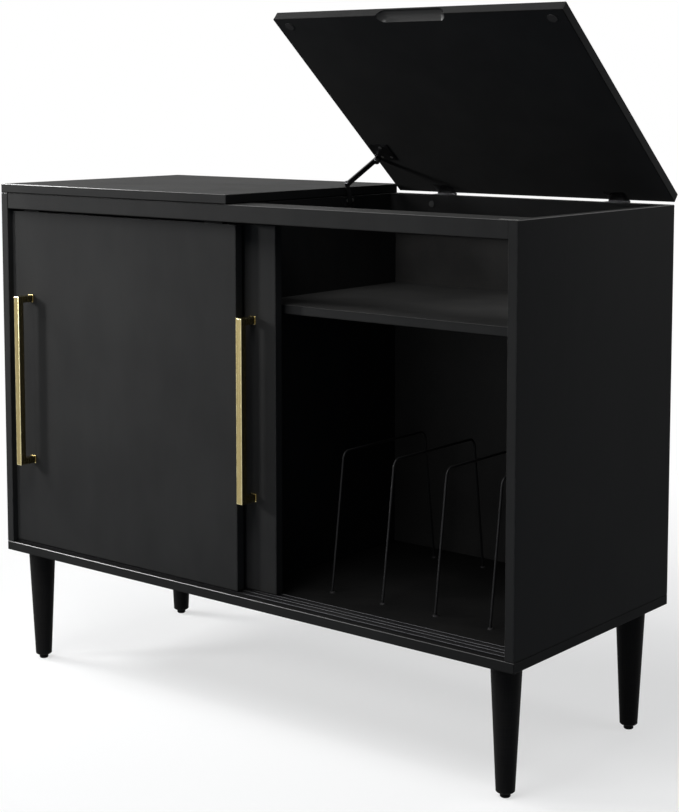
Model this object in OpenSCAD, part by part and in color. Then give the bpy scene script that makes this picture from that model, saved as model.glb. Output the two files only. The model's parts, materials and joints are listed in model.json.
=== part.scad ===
// Record player stand: a sideboard on four turned legs, with two sliding doors,
// a fixed top over the left bay and a hinged lid with a stay over the right bay.
// X runs along the width, Y from front to back, Z up. The origin is on the floor,
// in the middle of the footprint at rest.

/* [Cabinet] */
// Width over both ends
body_w = 1100; // [1060:10:1400]
// Depth of the ends, front edge to rear edge
body_d = 450; // [430:10:520]
// Height from the underside of the bottom panel to the top of the ends
body_h = 650; // [620:10:740]
// Thickness of the carcase boards
board = 16; // [15:1:19]
// Thickness of the shelves
shelf_board = 15; // [15:1:18]
// Thickness of the back panels
back_board = 4; // [3:0.5:5]
// Length of the fixed top, from the left end
top_w = 546; // [520:2:580]
// Edge break on the boards
edge_break = 0.8; // [0.4:0.1:1.2]

/* [Rails and shelves] */
// Height of the front rail
rail_h = 28; // [26:1:36]
// Depth of the front rail, front to back
rail_d = 60; // [58:1:80]
// Height of the back rail
back_rail_h = 60; // [50:2:80]
// Depth of the turntable shelf's top below the top of the ends
turntable_drop = 160.5; // [140:0.5:210]
// Height of the left shelf's top above the bottom panel's underside
left_shelf_z = 333; // [280:1:380]
// Distance of the left shelf's front edge behind the front rail
left_shelf_setback = 12; // [5:1:40]
// Diameter of the shelf pins
shelf_pin_d = 5; // [4:0.5:6]
// Depth of the shelf pin holes
shelf_pin_depth = 9; // [7:0.5:10]
// Distance between the shelf pin holes of a row
shelf_pin_pitch = 32; // [25:1:40]
// Diameter of the cable holes in the back panels
cable_hole_d = 50; // [35:1:55]
// Distance of the cable holes' centres below the top of the ends
cable_hole_drop = 90; // [88:1:105]

/* [Legs] */
// Length of the turned leg without its glide
leg_len = 197; // [120:1:250]
// Diameter at the top of the leg
leg_top_d = 48; // [40:1:56]
// Diameter at the foot of the leg
leg_foot_d = 29; // [24:1:34]
// Distance of the leg's centre from the end of the cabinet
leg_inset_x = 42; // [32:1:90]
// Distance of the leg's centre from the front and the back
leg_inset_y = 45; // [32:1:90]
// Diameter of the hanger bolts
leg_bolt_d = 8; // [6:0.5:9]
// Diameter of the foot glides
glide_d = 16; // [12:1:22]
// Height of the foot glides
glide_h = 8; // [5:0.5:12]

/* [Doors] */
// Thickness of the door panels
door_t = 16; // [15:1:17]
// Distance of the front door's face behind the cabinet's front
door_recess = 10; // [8:0.5:12]
// Gap between the front door's back and the rear door's face
door_gap = 8; // [6.5:0.5:9]
// Overlap of the closed doors
door_overlap = 15; // [10:1:40]
// Gap between a closed door and the end of the cabinet
door_side_gap = 0.5; // [0.3:0.1:1.5]
// Gap between a door and the ribs of the bottom track
door_floor_gap = 1; // [0.5:0.5:2]
// Gap between a door and the front rail
door_head_gap = 4; // [2:0.5:6]
// Clear width of a track channel
track_channel = 12; // [10:0.5:13]
// Thickness of the track's ribs
track_rib = 1.5; // [1:0.1:2]
// Height of the bottom track's ribs above the bottom panel
track_h = 3; // [2.5:0.1:4]
// Depth of the top track in the front rail
top_track_h = 10; // [8:0.5:12]
// Length of a door glide or top guide
guide_len = 40; // [25:1:60]

/* [Handles] */
// Length of the bar handles
handle_len = 302; // [200:2:400]
// Width of the bar
handle_w = 12; // [8:0.5:14]
// Depth of the bar, front to back
handle_bar_d = 12; // [6:0.5:14]
// Height of the posts
handle_post_h = 12; // [8:0.5:14]
// Reach of the handle out from the door
handle_reach = 35; // [25:1:38]
// Distance of the handle's centre from the outer edge of its door
handle_inset = 48; // [40:1:60]
// Gap between the open rear door's handle and the front door's edge
handle_clear = 9; // [6:1:60]

/* [Lid] */
// Gap between the fixed top and the lid
lid_gap = 6; // [5:0.5:10]
// Height of the closed lid above the front rail, where its bumpers stop it
lid_rest = 1.5; // [1.5:0.1:2]
// Angle of the open lid
lid_open = 40.4; // [30:0.1:45]
// Setback of the lid's front and rear edges from the cabinet's
lid_setback = 0.5; // [0.3:0.1:1]
// Length of the finger scoop in the lid's front edge
scoop_len = 131; // [90:1:180]
// Radius of the finger scoop
scoop_r = 15; // [10:0.5:16]
// Thickness left over the finger scoop
scoop_lip = 3.5; // [2.5:0.1:5]
// Diameter of the lid bumpers
bumper_d = 16; // [10:0.5:17]
// Distance of the lid bumpers from the ends of the lid
bumper_inset = 25; // [16:1:40]
// Distance of the lid bumpers behind the lid's front edge
bumper_back = 17; // [14:1:30]

/* [Lid hinges] */
// Distance of the hinges' centres from the ends of the lid
hinge_inset = 102; // [60:1:160]
// Width of a hinge
hinge_w = 38; // [30:1:60]
// Thickness of the hinge leaves
hinge_leaf_t = 1.2; // [1:0.05:1.2]
// Length of a hinge leaf, from the pin forwards
hinge_leaf_len = 24; // [20:1:30]
// Outer diameter of the hinge knuckles
knuckle_d = 5; // [4.5:0.1:5.4]
// Diameter of the hinge pins
hinge_pin_d = 2.5; // [2:0.1:3]
// Running clearance round the pins, on the radius
pin_clear = 0.05; // [0.02:0.01:0.1]

/* [Lid stay] */
// Distance of the crank's pivot in front of the hinge line
stay_y = 144.5; // [142:0.5:147]
// Depth of the crank's pivot below the hinge line
stay_drop = 15.5; // [14:0.5:18]
// Length of the crank between its pivots
crank_len = 38.5; // [37:0.5:40]
// Distance of the lid bracket's pivot in front of the hinge line, lid closed
bracket_y = 99.8; // [98:0.1:102]
// Depth of the lid bracket's pivot below the hinge line, lid closed
bracket_drop = 8; // [7:0.5:9]
// Width of the crank and the arm
link_w = 9; // [8:0.5:10]
// Thickness of the crank, the arm and the bracket's ear
link_t = 3; // [2:0.25:3.5]
// Thickness of the stay's housing
housing_t = 6; // [4.5:0.5:6]
// Width of the stay's housing
housing_w = 26; // [24:1:32]
// Gap between the links
link_gap = 0.4; // [0.3:0.1:0.6]

/* [Record dividers] */
// Distance between the dividers
divider_pitch = 103.5; // [80:0.5:110]
// Distance of the last divider from the right end's inner face
divider_inset = 102; // [80:1:110]
// Height of the dividers above the floor of the bay
divider_h = 229; // [150:1:300]
// Diameter of the divider wire
wire_d = 4; // [3:0.5:6]
// Distance of the front feet behind the cabinet's front
divider_front = 115; // [90:1:130]
// Distance between the front and rear feet
divider_len = 280; // [200:1:290]
// How far the uprights lean in
divider_lean = 30; // [10:1:45]
// Bend radius of the wire
wire_bend = 14; // [10:1:25]

/* [Hidden] */
$fn = 48;

black = [0.07, 0.07, 0.07];
soft_black = [0.03, 0.03, 0.03];
steel = [0.62, 0.62, 0.63];
dark_steel = [0.16, 0.16, 0.17];
brass = [0.78, 0.66, 0.38];
grey_plastic = [0.20, 0.20, 0.21];
fibreboard = [0.10, 0.09, 0.09];
beech = [0.80, 0.66, 0.46];

// How far a cutting shape runs past a face, and the clearance round a fitted piece
cut = 1;
fit = 0.05;

// Carcase, in the cabinet's own frame: its corner is at the front left underside
inner_left = board;
inner_right = body_w - board;
inner_w = inner_right - inner_left;
divider_x = top_w - board;
rail_front = edge_break;
bay_front = rail_front + rail_d;
back_y = body_d - back_board;
back_lap = board / 2;
back_joint = 0.5;
rail_z = body_h - rail_h;
floor_gap = leg_len + glide_h;
turntable_shelf_z = body_h - turntable_drop;
cable_hole_z = body_h - cable_hole_drop;
left_shelf_gap = 0.5;
left_shelf_back = 6;
leg_spots = [
    [leg_inset_x, leg_inset_y], [body_w - leg_inset_x, leg_inset_y],
    [leg_inset_x, body_d - leg_inset_y], [body_w - leg_inset_x, body_d - leg_inset_y]
];

// Fittings of the carcase
insert_d = leg_bolt_d + 3;
insert_len = 13;
leg_bore_depth = 36;
glide_stem_d = 6;
glide_stem_len = 18;
dowel_d = 8;
dowel_len = 24;
upright_dowels = [
    for (y = [90, body_d - 110]) each [
        [board / 2, y, board], [divider_x + board / 2, y, board], [body_w - board / 2, y, board],
        [board / 2, y, body_h], [divider_x + board / 2, y, body_h]
    ]
];
rail_dowels = [
    for (x = [inner_left, inner_right]) each [
        [x, rail_front + rail_d / 2, body_h - 9], [x, back_y - board / 2, body_h - back_rail_h / 2]
    ]
];
pin_rows = [bay_front + left_shelf_setback + 40, back_y - 60];
pin_z = left_shelf_z - shelf_board - shelf_pin_d / 2 - fit;
pin_levels = [pin_z - shelf_pin_pitch, pin_z, pin_z + shelf_pin_pitch];
cam_d = 15;
cam_depth = 11;
cam_inset = 30;
cam_bolt_d = 7;
cam_bolt_grip = 10;
cam_bolt_z = turntable_shelf_z - shelf_board / 2;
cam_rows = [bay_front + 60, back_y - 60];
cam_slot_z = shelf_board / 2 - cam_bolt_d / 2 - fit;
screw_d = 3;
screw_head_d = 6;
screw_len = 12;
brace_low = [inner_right - 21, 3.5];
brace_size = [33, 9, 0.8];
brace_screws = [brace_low + [5, 4.5], brace_low + [28, 4.5]];

// Doors, tracks and handles
door_w = (inner_w + door_overlap) / 2 - door_side_gap;
door_z = board + track_h + door_floor_gap;
door_h = rail_z - door_head_gap - door_z;
front_door_x = inner_left + door_side_gap;
rear_door_x = front_door_x + handle_inset + handle_w / 2 + handle_clear;
rear_door_y = door_recess + door_t + door_gap;
front_mid_y = door_recess + door_t / 2;
rear_mid_y = rear_door_y + door_t / 2;
track_front = front_mid_y - track_channel / 2 - track_rib;
track_back = rear_mid_y + track_channel / 2 + track_rib;
track_base = 1.2;
guide_w = track_channel - 1;
guide_inset = 30;
guide_seat = 12;
guide_gap = 0.3;
handle_z = door_z + door_h / 2 - handle_len / 2;
post_levels = [handle_z + handle_post_h / 2, handle_z + handle_len - handle_post_h / 2];
handle_screw_d = 4;
handle_thread = 14;
handle_head_t = 2.4;
handle_foot_t = 2;
handle_foot_rim = 0.75;
front_handle_x = front_door_x + handle_inset;
rear_handle_x = rear_door_x + door_w - handle_inset;

// Lid and hinges
lid_x = top_w + lid_gap;
lid_w = body_w - lid_x;
lid_z = body_h + lid_rest;
lid_front = lid_setback;
lid_back = body_d - lid_setback;
scoop_z = lid_z + board - scoop_lip - scoop_r;
bumper_h = lid_rest - 0.2;
hinge_y = body_d + knuckle_d / 2 + 0.4;
hinge_z = body_h + lid_rest - 0.15;
hinge_spots = [lid_x + hinge_inset, body_w - hinge_inset];
knuckle_w = hinge_w / 3;
knuckle_gap = 0.2;
leaf_y = hinge_y - hinge_leaf_len;
leaf_screw_y = leaf_y + 7;
cap_d = 8;
cap_depth = 4;
cap_flange = 0.8;
cap_z = body_h - 16;
cap_spots = [hinge_spots[0] - 17, hinge_spots[1] + 17];

// Stay: the crank turns on the housing, the arm joins it to the lid's bracket.
// With the lid closed the arm lies folded back along the crank.
fold_slack = 0.2;
crank_pivot = [hinge_y - stay_y, hinge_z - stay_drop];
bracket_closed = [hinge_y - bracket_y, hinge_z - bracket_drop];
arm_len = crank_len + norm(bracket_closed - crank_pivot) - fold_slack;
bracket_pivot = [
    hinge_y - bracket_y * cos(lid_open) - bracket_drop * sin(lid_open),
    hinge_z + bracket_y * sin(lid_open) - bracket_drop * cos(lid_open)
];
stay_span = bracket_pivot - crank_pivot;
stay_dist = norm(stay_span);
crank_share = (crank_len * crank_len - arm_len * arm_len + stay_dist * stay_dist) / (2 * stay_dist);
crank_rise = sqrt(crank_len * crank_len - crank_share * crank_share);
elbow = crank_pivot + crank_share * stay_span / stay_dist
    + crank_rise * [-stay_span[1], stay_span[0]] / stay_dist;
crank_x = top_w + housing_t + link_gap;
arm_x = crank_x + link_t + link_gap;
ear_x = arm_x + link_t + link_gap;
housing_top = body_h - 1.5;
housing_screws = [for (dy = [-1, 1]) crank_pivot + [dy * (housing_w / 2 - 6), 7]];
screw_seat = 1.5;
pivot_d = 6;
lid_pivot_d = 5;
pin_head_d = 8;
ear_d = 14;
bracket_size = [39, 40, 2];
bracket_low = [ear_x, bracket_closed[0] + 5 - bracket_size[1]];
bracket_screws = [bracket_low + [12, 33], bracket_low + [32, 33], bracket_low + [22, 7]];

// Wire dividers
divider_count = 4;
wire_plug = 8;
grommet_h = 2;
bead_d = wire_d + 0.1;
bead_lap = 0.2;
wire_rear = divider_front + divider_len;
divider_top = board + divider_h;
divider_spots = [
    for (i = [0:divider_count - 1]) inner_right - divider_inset - (divider_count - 1 - i) * divider_pitch
];
wire_feet = [for (x = divider_spots, y = [divider_front, wire_rear]) [x, y]];

// The footprint's middle, from the front handle to the open lid's rear corner
handle_front_y = door_recess - handle_reach;
lid_corner = [lid_back - hinge_y, lid_z + board - edge_break - hinge_z];
lid_rear_y = hinge_y + lid_corner[0] * cos(lid_open) + lid_corner[1] * sin(lid_open);
centre_y = (handle_front_y + lid_rear_y) / 2;

// Length that a bend of the wire takes from each side of its corner
function bend_trim(turn) = wire_bend * tan(turn / 2);

// Left edges of the two guides of a door that starts at x
function guide_spots(x) = [x + guide_inset, x + door_w - guide_inset - guide_len];

// Moves a piece from the cabinet's frame into the part's frame
module place() {
    translate([-body_w / 2, -centre_y, floor_gap]) children();
}

// Turns a piece of the closed lid about the hinge line to its open place
module lid_place() {
    place()
        translate([0, hinge_y, hinge_z])
            rotate([-lid_open, 0, 0])
                translate([0, -hinge_y, -hinge_z]) children();
}

// A plain block between two corners
module block(low, high) {
    translate(low) cube(high - low);
}

// A rectangle with broken corners
module broken_rect(w, h) {
    e = edge_break;
    polygon([[e, 0], [w - e, 0], [w, e], [w, h - e], [w - e, h], [e, h], [0, h - e], [0, e]]);
}

// A board between two corners, with all its edges broken
module board_block(low, high) {
    s = high - low;
    translate(low) intersection() {
        linear_extrude(s[2]) broken_rect(s[0], s[1]);
        translate([0, s[1], 0]) rotate([90, 0, 0]) linear_extrude(s[1]) broken_rect(s[0], s[2]);
        rotate([90, 0, 90]) linear_extrude(s[0]) broken_rect(s[1], s[2]);
    }
}

// A round bar along X from a point
module bar_x(start, len, d) {
    translate(start) rotate([0, 90, 0]) cylinder(h = len, d = d);
}

// A round bar along Y from a point
module bar_y(start, len, d) {
    translate(start) rotate([-90, 0, 0]) cylinder(h = len, d = d);
}

// Wooden dowels of the carcase, or the holes for them when room is more than 0
module dowels(room = 0) {
    for (p = upright_dowels)
        translate([p[0], p[1], p[2] - dowel_len / 2 - room])
            cylinder(h = dowel_len + 2 * room, d = dowel_d + 2 * room);
    for (p = rail_dowels)
        bar_x([p[0] - dowel_len / 2 - room, p[1], p[2]], dowel_len + 2 * room, dowel_d + 2 * room);
}

// Holes for the shelf pins from a face at x, towards the left when side is -1
module pin_holes(x, side) {
    start = side < 0 ? x - shelf_pin_depth : x - cut;
    for (y = pin_rows, z = pin_levels)
        bar_x([start, y, z], shelf_pin_depth + cut, shelf_pin_d + 2 * fit);
}

// Holes for the cam bolts from a face at x, towards the left when side is -1
module cam_bolt_holes(x, side) {
    start = side < 0 ? x - cam_bolt_grip : x - cut;
    for (y = cam_rows)
        bar_x([start, y, cam_bolt_z], cam_bolt_grip + cut, cam_bolt_d + 2 * fit);
}

// Seat of the corner brace and the holes of its screws
module brace_seat() {
    low = [brace_low[0] - fit, brace_low[1] - fit, body_h - brace_size[2]];
    translate(low) cube([brace_size[0] + 2 * fit, brace_size[1] + 2 * fit, brace_size[2] + cut]);
    for (p = brace_screws)
        translate([p[0], p[1], body_h - screw_len]) cylinder(h = screw_len, d = screw_d + 2 * fit);
}

module left_side_panel() {
    color(black) place() difference() {
        board_block([0, 0, board], [board, body_d, body_h]);
        block([back_lap, back_y, board - cut], [board + cut, body_d + cut, body_h + cut]);
        pin_holes(inner_left, -1);
        dowels(fit);
    }
}

module right_side_panel() {
    color(black) place() difference() {
        board_block([inner_right, 0, board], [body_w, body_d, body_h]);
        block([inner_right - cut, back_y, board - cut], [body_w - back_lap, body_d + cut, body_h + cut]);
        cam_bolt_holes(inner_right, 1);
        dowels(fit);
        brace_seat();
    }
}

module bottom_panel() {
    color(black) place() difference() {
        board_block([0, 0, 0], [body_w, body_d, board]);
        block([back_lap, back_y, back_lap], [body_w - back_lap, body_d + cut, board + cut]);
        dowels(fit);
        for (p = leg_spots)
            translate([p[0], p[1], -cut]) cylinder(h = insert_len + fit + cut, d = insert_d + 2 * fit);
        for (p = wire_feet)
            translate([p[0], p[1], board - wire_plug - fit])
                cylinder(h = wire_plug + fit + cut, d = wire_d + 2 * fit);
    }
}

module fixed_top() {
    color(black) place() difference() {
        board_block([0, 0, body_h], [top_w, body_d, body_h + board]);
        dowels(fit);
    }
}

module front_rail() {
    groove_top = rail_z + top_track_h;
    color(black) place() difference() {
        board_block([inner_left, rail_front, rail_z], [inner_right, bay_front, body_h]);
        block([inner_left - cut, track_front, rail_z - cut], [inner_right + cut, track_back, groove_top]);
        dowels(fit);
        brace_seat();
    }
}

module back_rail() {
    color(black) place() difference() {
        board_block([inner_left, back_y - board, body_h - back_rail_h], [inner_right, back_y, body_h]);
        dowels(fit);
        for (x = hinge_spots, dx = [-1, 1])
            translate([x + dx * hinge_w / 4, leaf_screw_y, body_h - screw_len])
                cylinder(h = screw_len + cut, d = screw_d + 2 * fit);
        for (x = cap_spots)
            bar_y([x, back_y - board - cut, cap_z], cap_depth + cut, cap_d);
    }
}

module centre_divider() {
    color(black) place() difference() {
        board_block([divider_x, bay_front, board], [top_w, back_y, body_h]);
        block(
            [divider_x - cut, back_y - board, body_h - back_rail_h],
            [top_w + cut, back_y + cut, body_h + cut]
        );
        dowels(fit);
        pin_holes(divider_x, 1);
        cam_bolt_holes(top_w, -1);
        for (p = housing_screws)
            bar_x([top_w - screw_len, p[0], p[1]], screw_len + cut, screw_d + 2 * fit);
    }
}

// A back panel between two places along X, with its cable hole
module back_panel(x0, x1, hole_x) {
    color(fibreboard) place() difference() {
        block([x0, back_y, back_lap], [x1, body_d, body_h]);
        bar_y([hole_x, back_y - cut, cable_hole_z], back_board + 2 * cut, cable_hole_d);
    }
}

module left_back_panel() {
    back_panel(back_lap, divider_x + (board - back_joint) / 2, (inner_left + divider_x) / 2);
}

module right_back_panel() {
    back_panel(divider_x + (board + back_joint) / 2, body_w - back_lap, (top_w + inner_right) / 2);
}

module turntable_shelf() {
    low_z = turntable_shelf_z - shelf_board;
    color(black) place() difference() {
        board_block([top_w, bay_front, low_z], [inner_right, back_y, turntable_shelf_z]);
        for (x = [top_w + cam_inset, inner_right - cam_inset], y = cam_rows)
            translate([x, y, low_z - cut]) cylinder(h = cam_depth + cut, d = cam_d + 2 * fit);
        for (x = [top_w - cut, inner_right - cam_inset], y = cam_rows)
            bar_x([x, y, cam_bolt_z], cam_inset + cut, cam_bolt_d + 2 * fit);
    }
}

module left_shelf() {
    front_y = bay_front + left_shelf_setback;
    color(black) place() board_block(
        [inner_left + left_shelf_gap, front_y, left_shelf_z - shelf_board],
        [divider_x - left_shelf_gap, back_y - left_shelf_back, left_shelf_z]
    );
}

// Pins in the middle hole of each row, half in the upright and half under the shelf
module shelf_pins() {
    color(steel) place() for (y = pin_rows) {
        bar_x([inner_left - shelf_pin_depth + fit, y, pin_z], shelf_pin_depth * 2, shelf_pin_d);
        bar_x([divider_x - shelf_pin_depth - fit, y, pin_z], shelf_pin_depth * 2, shelf_pin_d);
    }
}

// Section of a track: a thin base with four ribs that make two channels
module track_section(height) {
    span = track_back - track_front;
    step = track_channel + track_rib;
    square([span, track_base]);
    for (y = [0, step, span - step - track_rib, span - track_rib])
        translate([y, 0]) square([track_rib, height]);
}

module bottom_track() {
    color(grey_plastic) place() translate([inner_left, track_front, board])
        rotate([90, 0, 90]) linear_extrude(inner_w) track_section(track_h);
}

module top_track() {
    color(grey_plastic) place() translate([inner_left, track_back, rail_z + top_track_h])
        rotate([90, 0, 90]) linear_extrude(inner_w) rotate([0, 0, 180]) track_section(top_track_h);
}

// A straight run of wire between two points of the YZ plane
module wire_run(a, b) {
    s = b - a;
    translate([0, a[0], a[1]]) rotate([-atan2(s[0], s[1]), 0, 0])
        translate([0, 0, bead_lap]) cylinder(h = norm(s) - 2 * bead_lap, d = wire_d);
}

// A bend of the wire about a centre in the YZ plane, from a start angle
module wire_arc(centre, start, turn) {
    lap = asin(bead_lap / wire_bend);
    translate([0, centre[0], centre[1]]) rotate([90, 0, 90]) rotate([0, 0, start + lap])
        rotate_extrude(angle = turn - 2 * lap) translate([wire_bend, 0]) circle(d = wire_d);
}

// Half a hoop: a plug in the floor, a leaning upright and the bends at its ends
module wire_half() {
    lean = atan2(divider_lean, divider_h);
    up = [sin(lean), cos(lean)];
    start = [divider_front, board + grommet_h + wire_d];
    foot = start + [0, bend_trim(lean)];
    top = foot + up * (divider_top - foot[1]) / cos(lean);
    upright = [foot + up * bend_trim(lean), top - up * bend_trim(90 - lean)];
    over = top + [bend_trim(90 - lean), 0];
    middle = [(divider_front + wire_rear) / 2, divider_top];
    wire_run([divider_front, board - wire_plug - bead_lap], start);
    wire_arc(start + [wire_bend, 0], 180 - lean, lean);
    wire_run(upright[0], upright[1]);
    wire_arc(over - [0, wire_bend], 90, 90 - lean);
    wire_run(over, middle + [bead_lap, 0]);
    for (p = [start, upright[0], upright[1], over])
        translate([0, p[0], p[1]]) sphere(d = bead_d);
}

// One wire hoop that keeps the records upright
module record_divider(i) {
    color(soft_black) place() translate([divider_spots[i], 0, 0]) {
        wire_half();
        translate([0, divider_front + wire_rear, 0]) mirror([0, 1, 0]) wire_half();
    }
}

module record_divider_1() { record_divider(0); }
module record_divider_2() { record_divider(1); }
module record_divider_3() { record_divider(2); }
module record_divider_4() { record_divider(3); }

module divider_grommets() {
    color(soft_black) place() for (p = wire_feet)
        translate([p[0], p[1], board]) difference() {
            cylinder(h = grommet_h, d1 = wire_d + 6, d2 = wire_d + 4);
            translate([0, 0, -cut]) cylinder(h = grommet_h + 2 * cut, d = wire_d + 2 * fit);
        }
}

// A straight turned leg that tapers to its foot, with bores for its bolt and glide
module turned_leg(i) {
    top_r = leg_top_d / 2;
    foot_r = leg_foot_d / 2;
    ease = 1.5;
    color(black) place() translate([leg_spots[i][0], leg_spots[i][1], 0]) difference() {
        rotate_extrude() polygon([
            [0, -leg_len], [foot_r - ease, -leg_len], [foot_r, -leg_len + ease],
            [top_r, -ease], [top_r - ease, 0], [0, 0]
        ]);
        translate([0, 0, -leg_bore_depth]) cylinder(h = leg_bore_depth + cut, d = leg_bolt_d + 2 * fit);
        translate([0, 0, -leg_len - cut])
            cylinder(h = glide_stem_len + fit + cut, d = glide_stem_d + 2 * fit);
    }
}

module front_left_leg() { turned_leg(0); }
module front_right_leg() { turned_leg(1); }
module rear_left_leg() { turned_leg(2); }
module rear_right_leg() { turned_leg(3); }

// A plastic foot glide with a stem pushed into the leg
module foot_glide(i) {
    r = glide_d / 2;
    ease = 1.2;
    stem_r = glide_stem_d / 2;
    stem_top = glide_h + glide_stem_len;
    color(soft_black) place() translate([leg_spots[i][0], leg_spots[i][1], -floor_gap])
        rotate_extrude() polygon([
            [0, 0], [r - ease, 0], [r, ease], [r, glide_h],
            [stem_r, glide_h], [stem_r, stem_top], [0, stem_top]
        ]);
}

module front_left_glide() { foot_glide(0); }
module front_right_glide() { foot_glide(1); }
module rear_left_glide() { foot_glide(2); }
module rear_right_glide() { foot_glide(3); }

module leg_bolts() {
    length = leg_bore_depth + insert_len - 2;
    color(steel) place() for (p = leg_spots)
        translate([p[0], p[1], 1 - leg_bore_depth]) cylinder(h = length, d = leg_bolt_d);
}

module leg_inserts() {
    color(steel) place() for (p = leg_spots)
        translate([p[0], p[1], 0]) difference() {
            cylinder(h = insert_len, d = insert_d);
            translate([0, 0, -cut]) cylinder(h = insert_len + 2 * cut, d = leg_bolt_d + 2 * fit);
        }
}

// Cams that draw the turntable shelf to its uprights, slotted for their bolts
module shelf_cams() {
    slot = cam_bolt_d + 2 * fit;
    color(steel) place() for (x = [top_w + cam_inset, inner_right - cam_inset], y = cam_rows)
        translate([x, y, turntable_shelf_z - shelf_board]) difference() {
            cylinder(h = cam_depth - fit, d = cam_d);
            translate([-cam_d, -slot / 2, cam_slot_z]) cube([cam_d * 2, slot, cam_depth]);
            for (turn = [0, 90])
                rotate([0, 0, turn]) translate([-4, -0.6, -cut]) cube([8, 1.2, 2 + cut]);
        }
}

module shelf_cam_bolts() {
    length = cam_bolt_grip + cam_inset - fit;
    color(steel) place() for (y = cam_rows) {
        bar_x([top_w - cam_bolt_grip + fit, y, cam_bolt_z], length, cam_bolt_d);
        bar_x([inner_right - cam_inset, y, cam_bolt_z], length, cam_bolt_d);
    }
}

module carcase_dowels() {
    color(beech) place() dowels();
}

module rail_screw_caps() {
    face_y = back_y - board;
    color(soft_black) place() for (x = cap_spots) {
        bar_y([x, face_y, cap_z], cap_depth - fit, cap_d - 2 * fit);
        bar_y([x, face_y - cap_flange, cap_z], cap_flange, cap_d + 3);
    }
}

// A countersunk screw with its head's face at a point, along -Z when side is -1
module flat_screw(p, head_t, side) {
    translate(p) mirror([0, 0, side < 0 ? 1 : 0]) {
        cylinder(h = head_t, d1 = screw_head_d, d2 = screw_d);
        cylinder(h = screw_len, d = screw_d);
    }
}

// The hole of a countersunk screw through a plate that starts at a point
module flat_screw_hole(p, plate_t, side) {
    translate(p) mirror([0, 0, side < 0 ? 1 : 0]) {
        translate([0, 0, -cut]) cylinder(h = plate_t + 2 * cut, d = screw_d + 2 * fit);
        cylinder(h = plate_t, d1 = screw_head_d + 2 * fit, d2 = screw_d + 2 * fit);
    }
}

module corner_brace() {
    color(steel) place() difference() {
        translate([brace_low[0], brace_low[1], body_h - brace_size[2]]) cube(brace_size);
        for (p = brace_screws)
            flat_screw_hole([p[0], p[1], body_h], brace_size[2], -1);
    }
}

module corner_brace_screws() {
    color(steel) place() for (p = brace_screws)
        flat_screw([p[0], p[1], body_h], brace_size[2], -1);
}

// A knuckle of a hinge and its tongue to the leaf, between two places along X
module knuckle(x0, x1, leaf_z) {
    tongue_y = lid_back - 1;
    difference() {
        union() {
            bar_x([x0, hinge_y, hinge_z], x1 - x0, knuckle_d);
            translate([x0, tongue_y, leaf_z]) cube([x1 - x0, hinge_y - tongue_y, hinge_leaf_t]);
        }
        bar_x([x0 - cut, hinge_y, hinge_z], x1 - x0 + 2 * cut, hinge_pin_d + 2 * pin_clear);
    }
}

// A leaf of a hinge at x, with its screws' heads on the face that side points away from
module leaf_plate(x, leaf_z, side) {
    face_z = side < 0 ? leaf_z + hinge_leaf_t : leaf_z;
    difference() {
        translate([x - hinge_w / 2, leaf_y, leaf_z]) cube([hinge_w, lid_back - leaf_y, hinge_leaf_t]);
        for (dx = [-1, 1])
            flat_screw_hole([x + dx * hinge_w / 4, leaf_screw_y, face_z], hinge_leaf_t, side);
    }
}

module frame_leaf(x) {
    color(steel) place() {
        leaf_plate(x, body_h, -1);
        knuckle(x - hinge_w / 2, x - knuckle_w / 2 - knuckle_gap, body_h);
        knuckle(x + knuckle_w / 2 + knuckle_gap, x + hinge_w / 2, body_h);
    }
}

module lid_leaf(x) {
    color(steel) lid_place() {
        leaf_plate(x, lid_z, 1);
        knuckle(x - knuckle_w / 2, x + knuckle_w / 2, lid_z);
    }
}

module left_hinge_frame_leaf() { frame_leaf(hinge_spots[0]); }
module right_hinge_frame_leaf() { frame_leaf(hinge_spots[1]); }
module left_hinge_lid_leaf() { lid_leaf(hinge_spots[0]); }
module right_hinge_lid_leaf() { lid_leaf(hinge_spots[1]); }

module hinge_pins() {
    color(steel) place() for (x = hinge_spots)
        bar_x([x - hinge_w / 2 - 0.5, hinge_y, hinge_z], hinge_w + 1, hinge_pin_d);
}

module hinge_frame_screws() {
    color(steel) place() for (x = hinge_spots, dx = [-1, 1])
        flat_screw([x + dx * hinge_w / 4, leaf_screw_y, body_h + hinge_leaf_t], hinge_leaf_t, -1);
}

module hinge_lid_screws() {
    color(steel) lid_place() for (x = hinge_spots, dx = [-1, 1])
        flat_screw([x + dx * hinge_w / 4, leaf_screw_y, lid_z], hinge_leaf_t, 1);
}

// Housing of the stay on the divider, with the pin that the crank turns on
module stay_housing() {
    y0 = crank_pivot[0];
    z0 = crank_pivot[1];
    pin_len = housing_t + link_gap + link_t;
    color(dark_steel) place() difference() {
        union() {
            bar_x([top_w, y0, z0], housing_t, housing_w);
            block([top_w, y0 - housing_w / 2, z0], [top_w + housing_t, y0 + housing_w / 2, housing_top]);
            bar_x([top_w, y0, z0], pin_len, pivot_d);
        }
        for (p = housing_screws) {
            bar_x([top_w - cut, p[0], p[1]], housing_t + 2 * cut, screw_d + 2 * fit);
            bar_x([top_w + housing_t - screw_seat, p[0], p[1]], screw_seat + cut, screw_head_d + 2 * fit);
        }
    }
}

// A flat link in the YZ plane between two points, with round ends
module link_plate(x, a, b) {
    s = b - a;
    translate([x, a[0], a[1]]) rotate([atan2(s[1], s[0]), 0, 0]) {
        translate([0, 0, -link_w / 2]) cube([link_t, norm(s), link_w]);
        for (y = [0, norm(s)])
            translate([0, y, 0]) rotate([0, 90, 0]) cylinder(h = link_t, d = link_w);
    }
}

module stay_crank() {
    color(dark_steel) place() difference() {
        link_plate(crank_x, crank_pivot, elbow);
        bar_x([crank_x - cut, crank_pivot[0], crank_pivot[1]], link_t + 2 * cut, pivot_d + 2 * pin_clear);
    }
}

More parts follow.
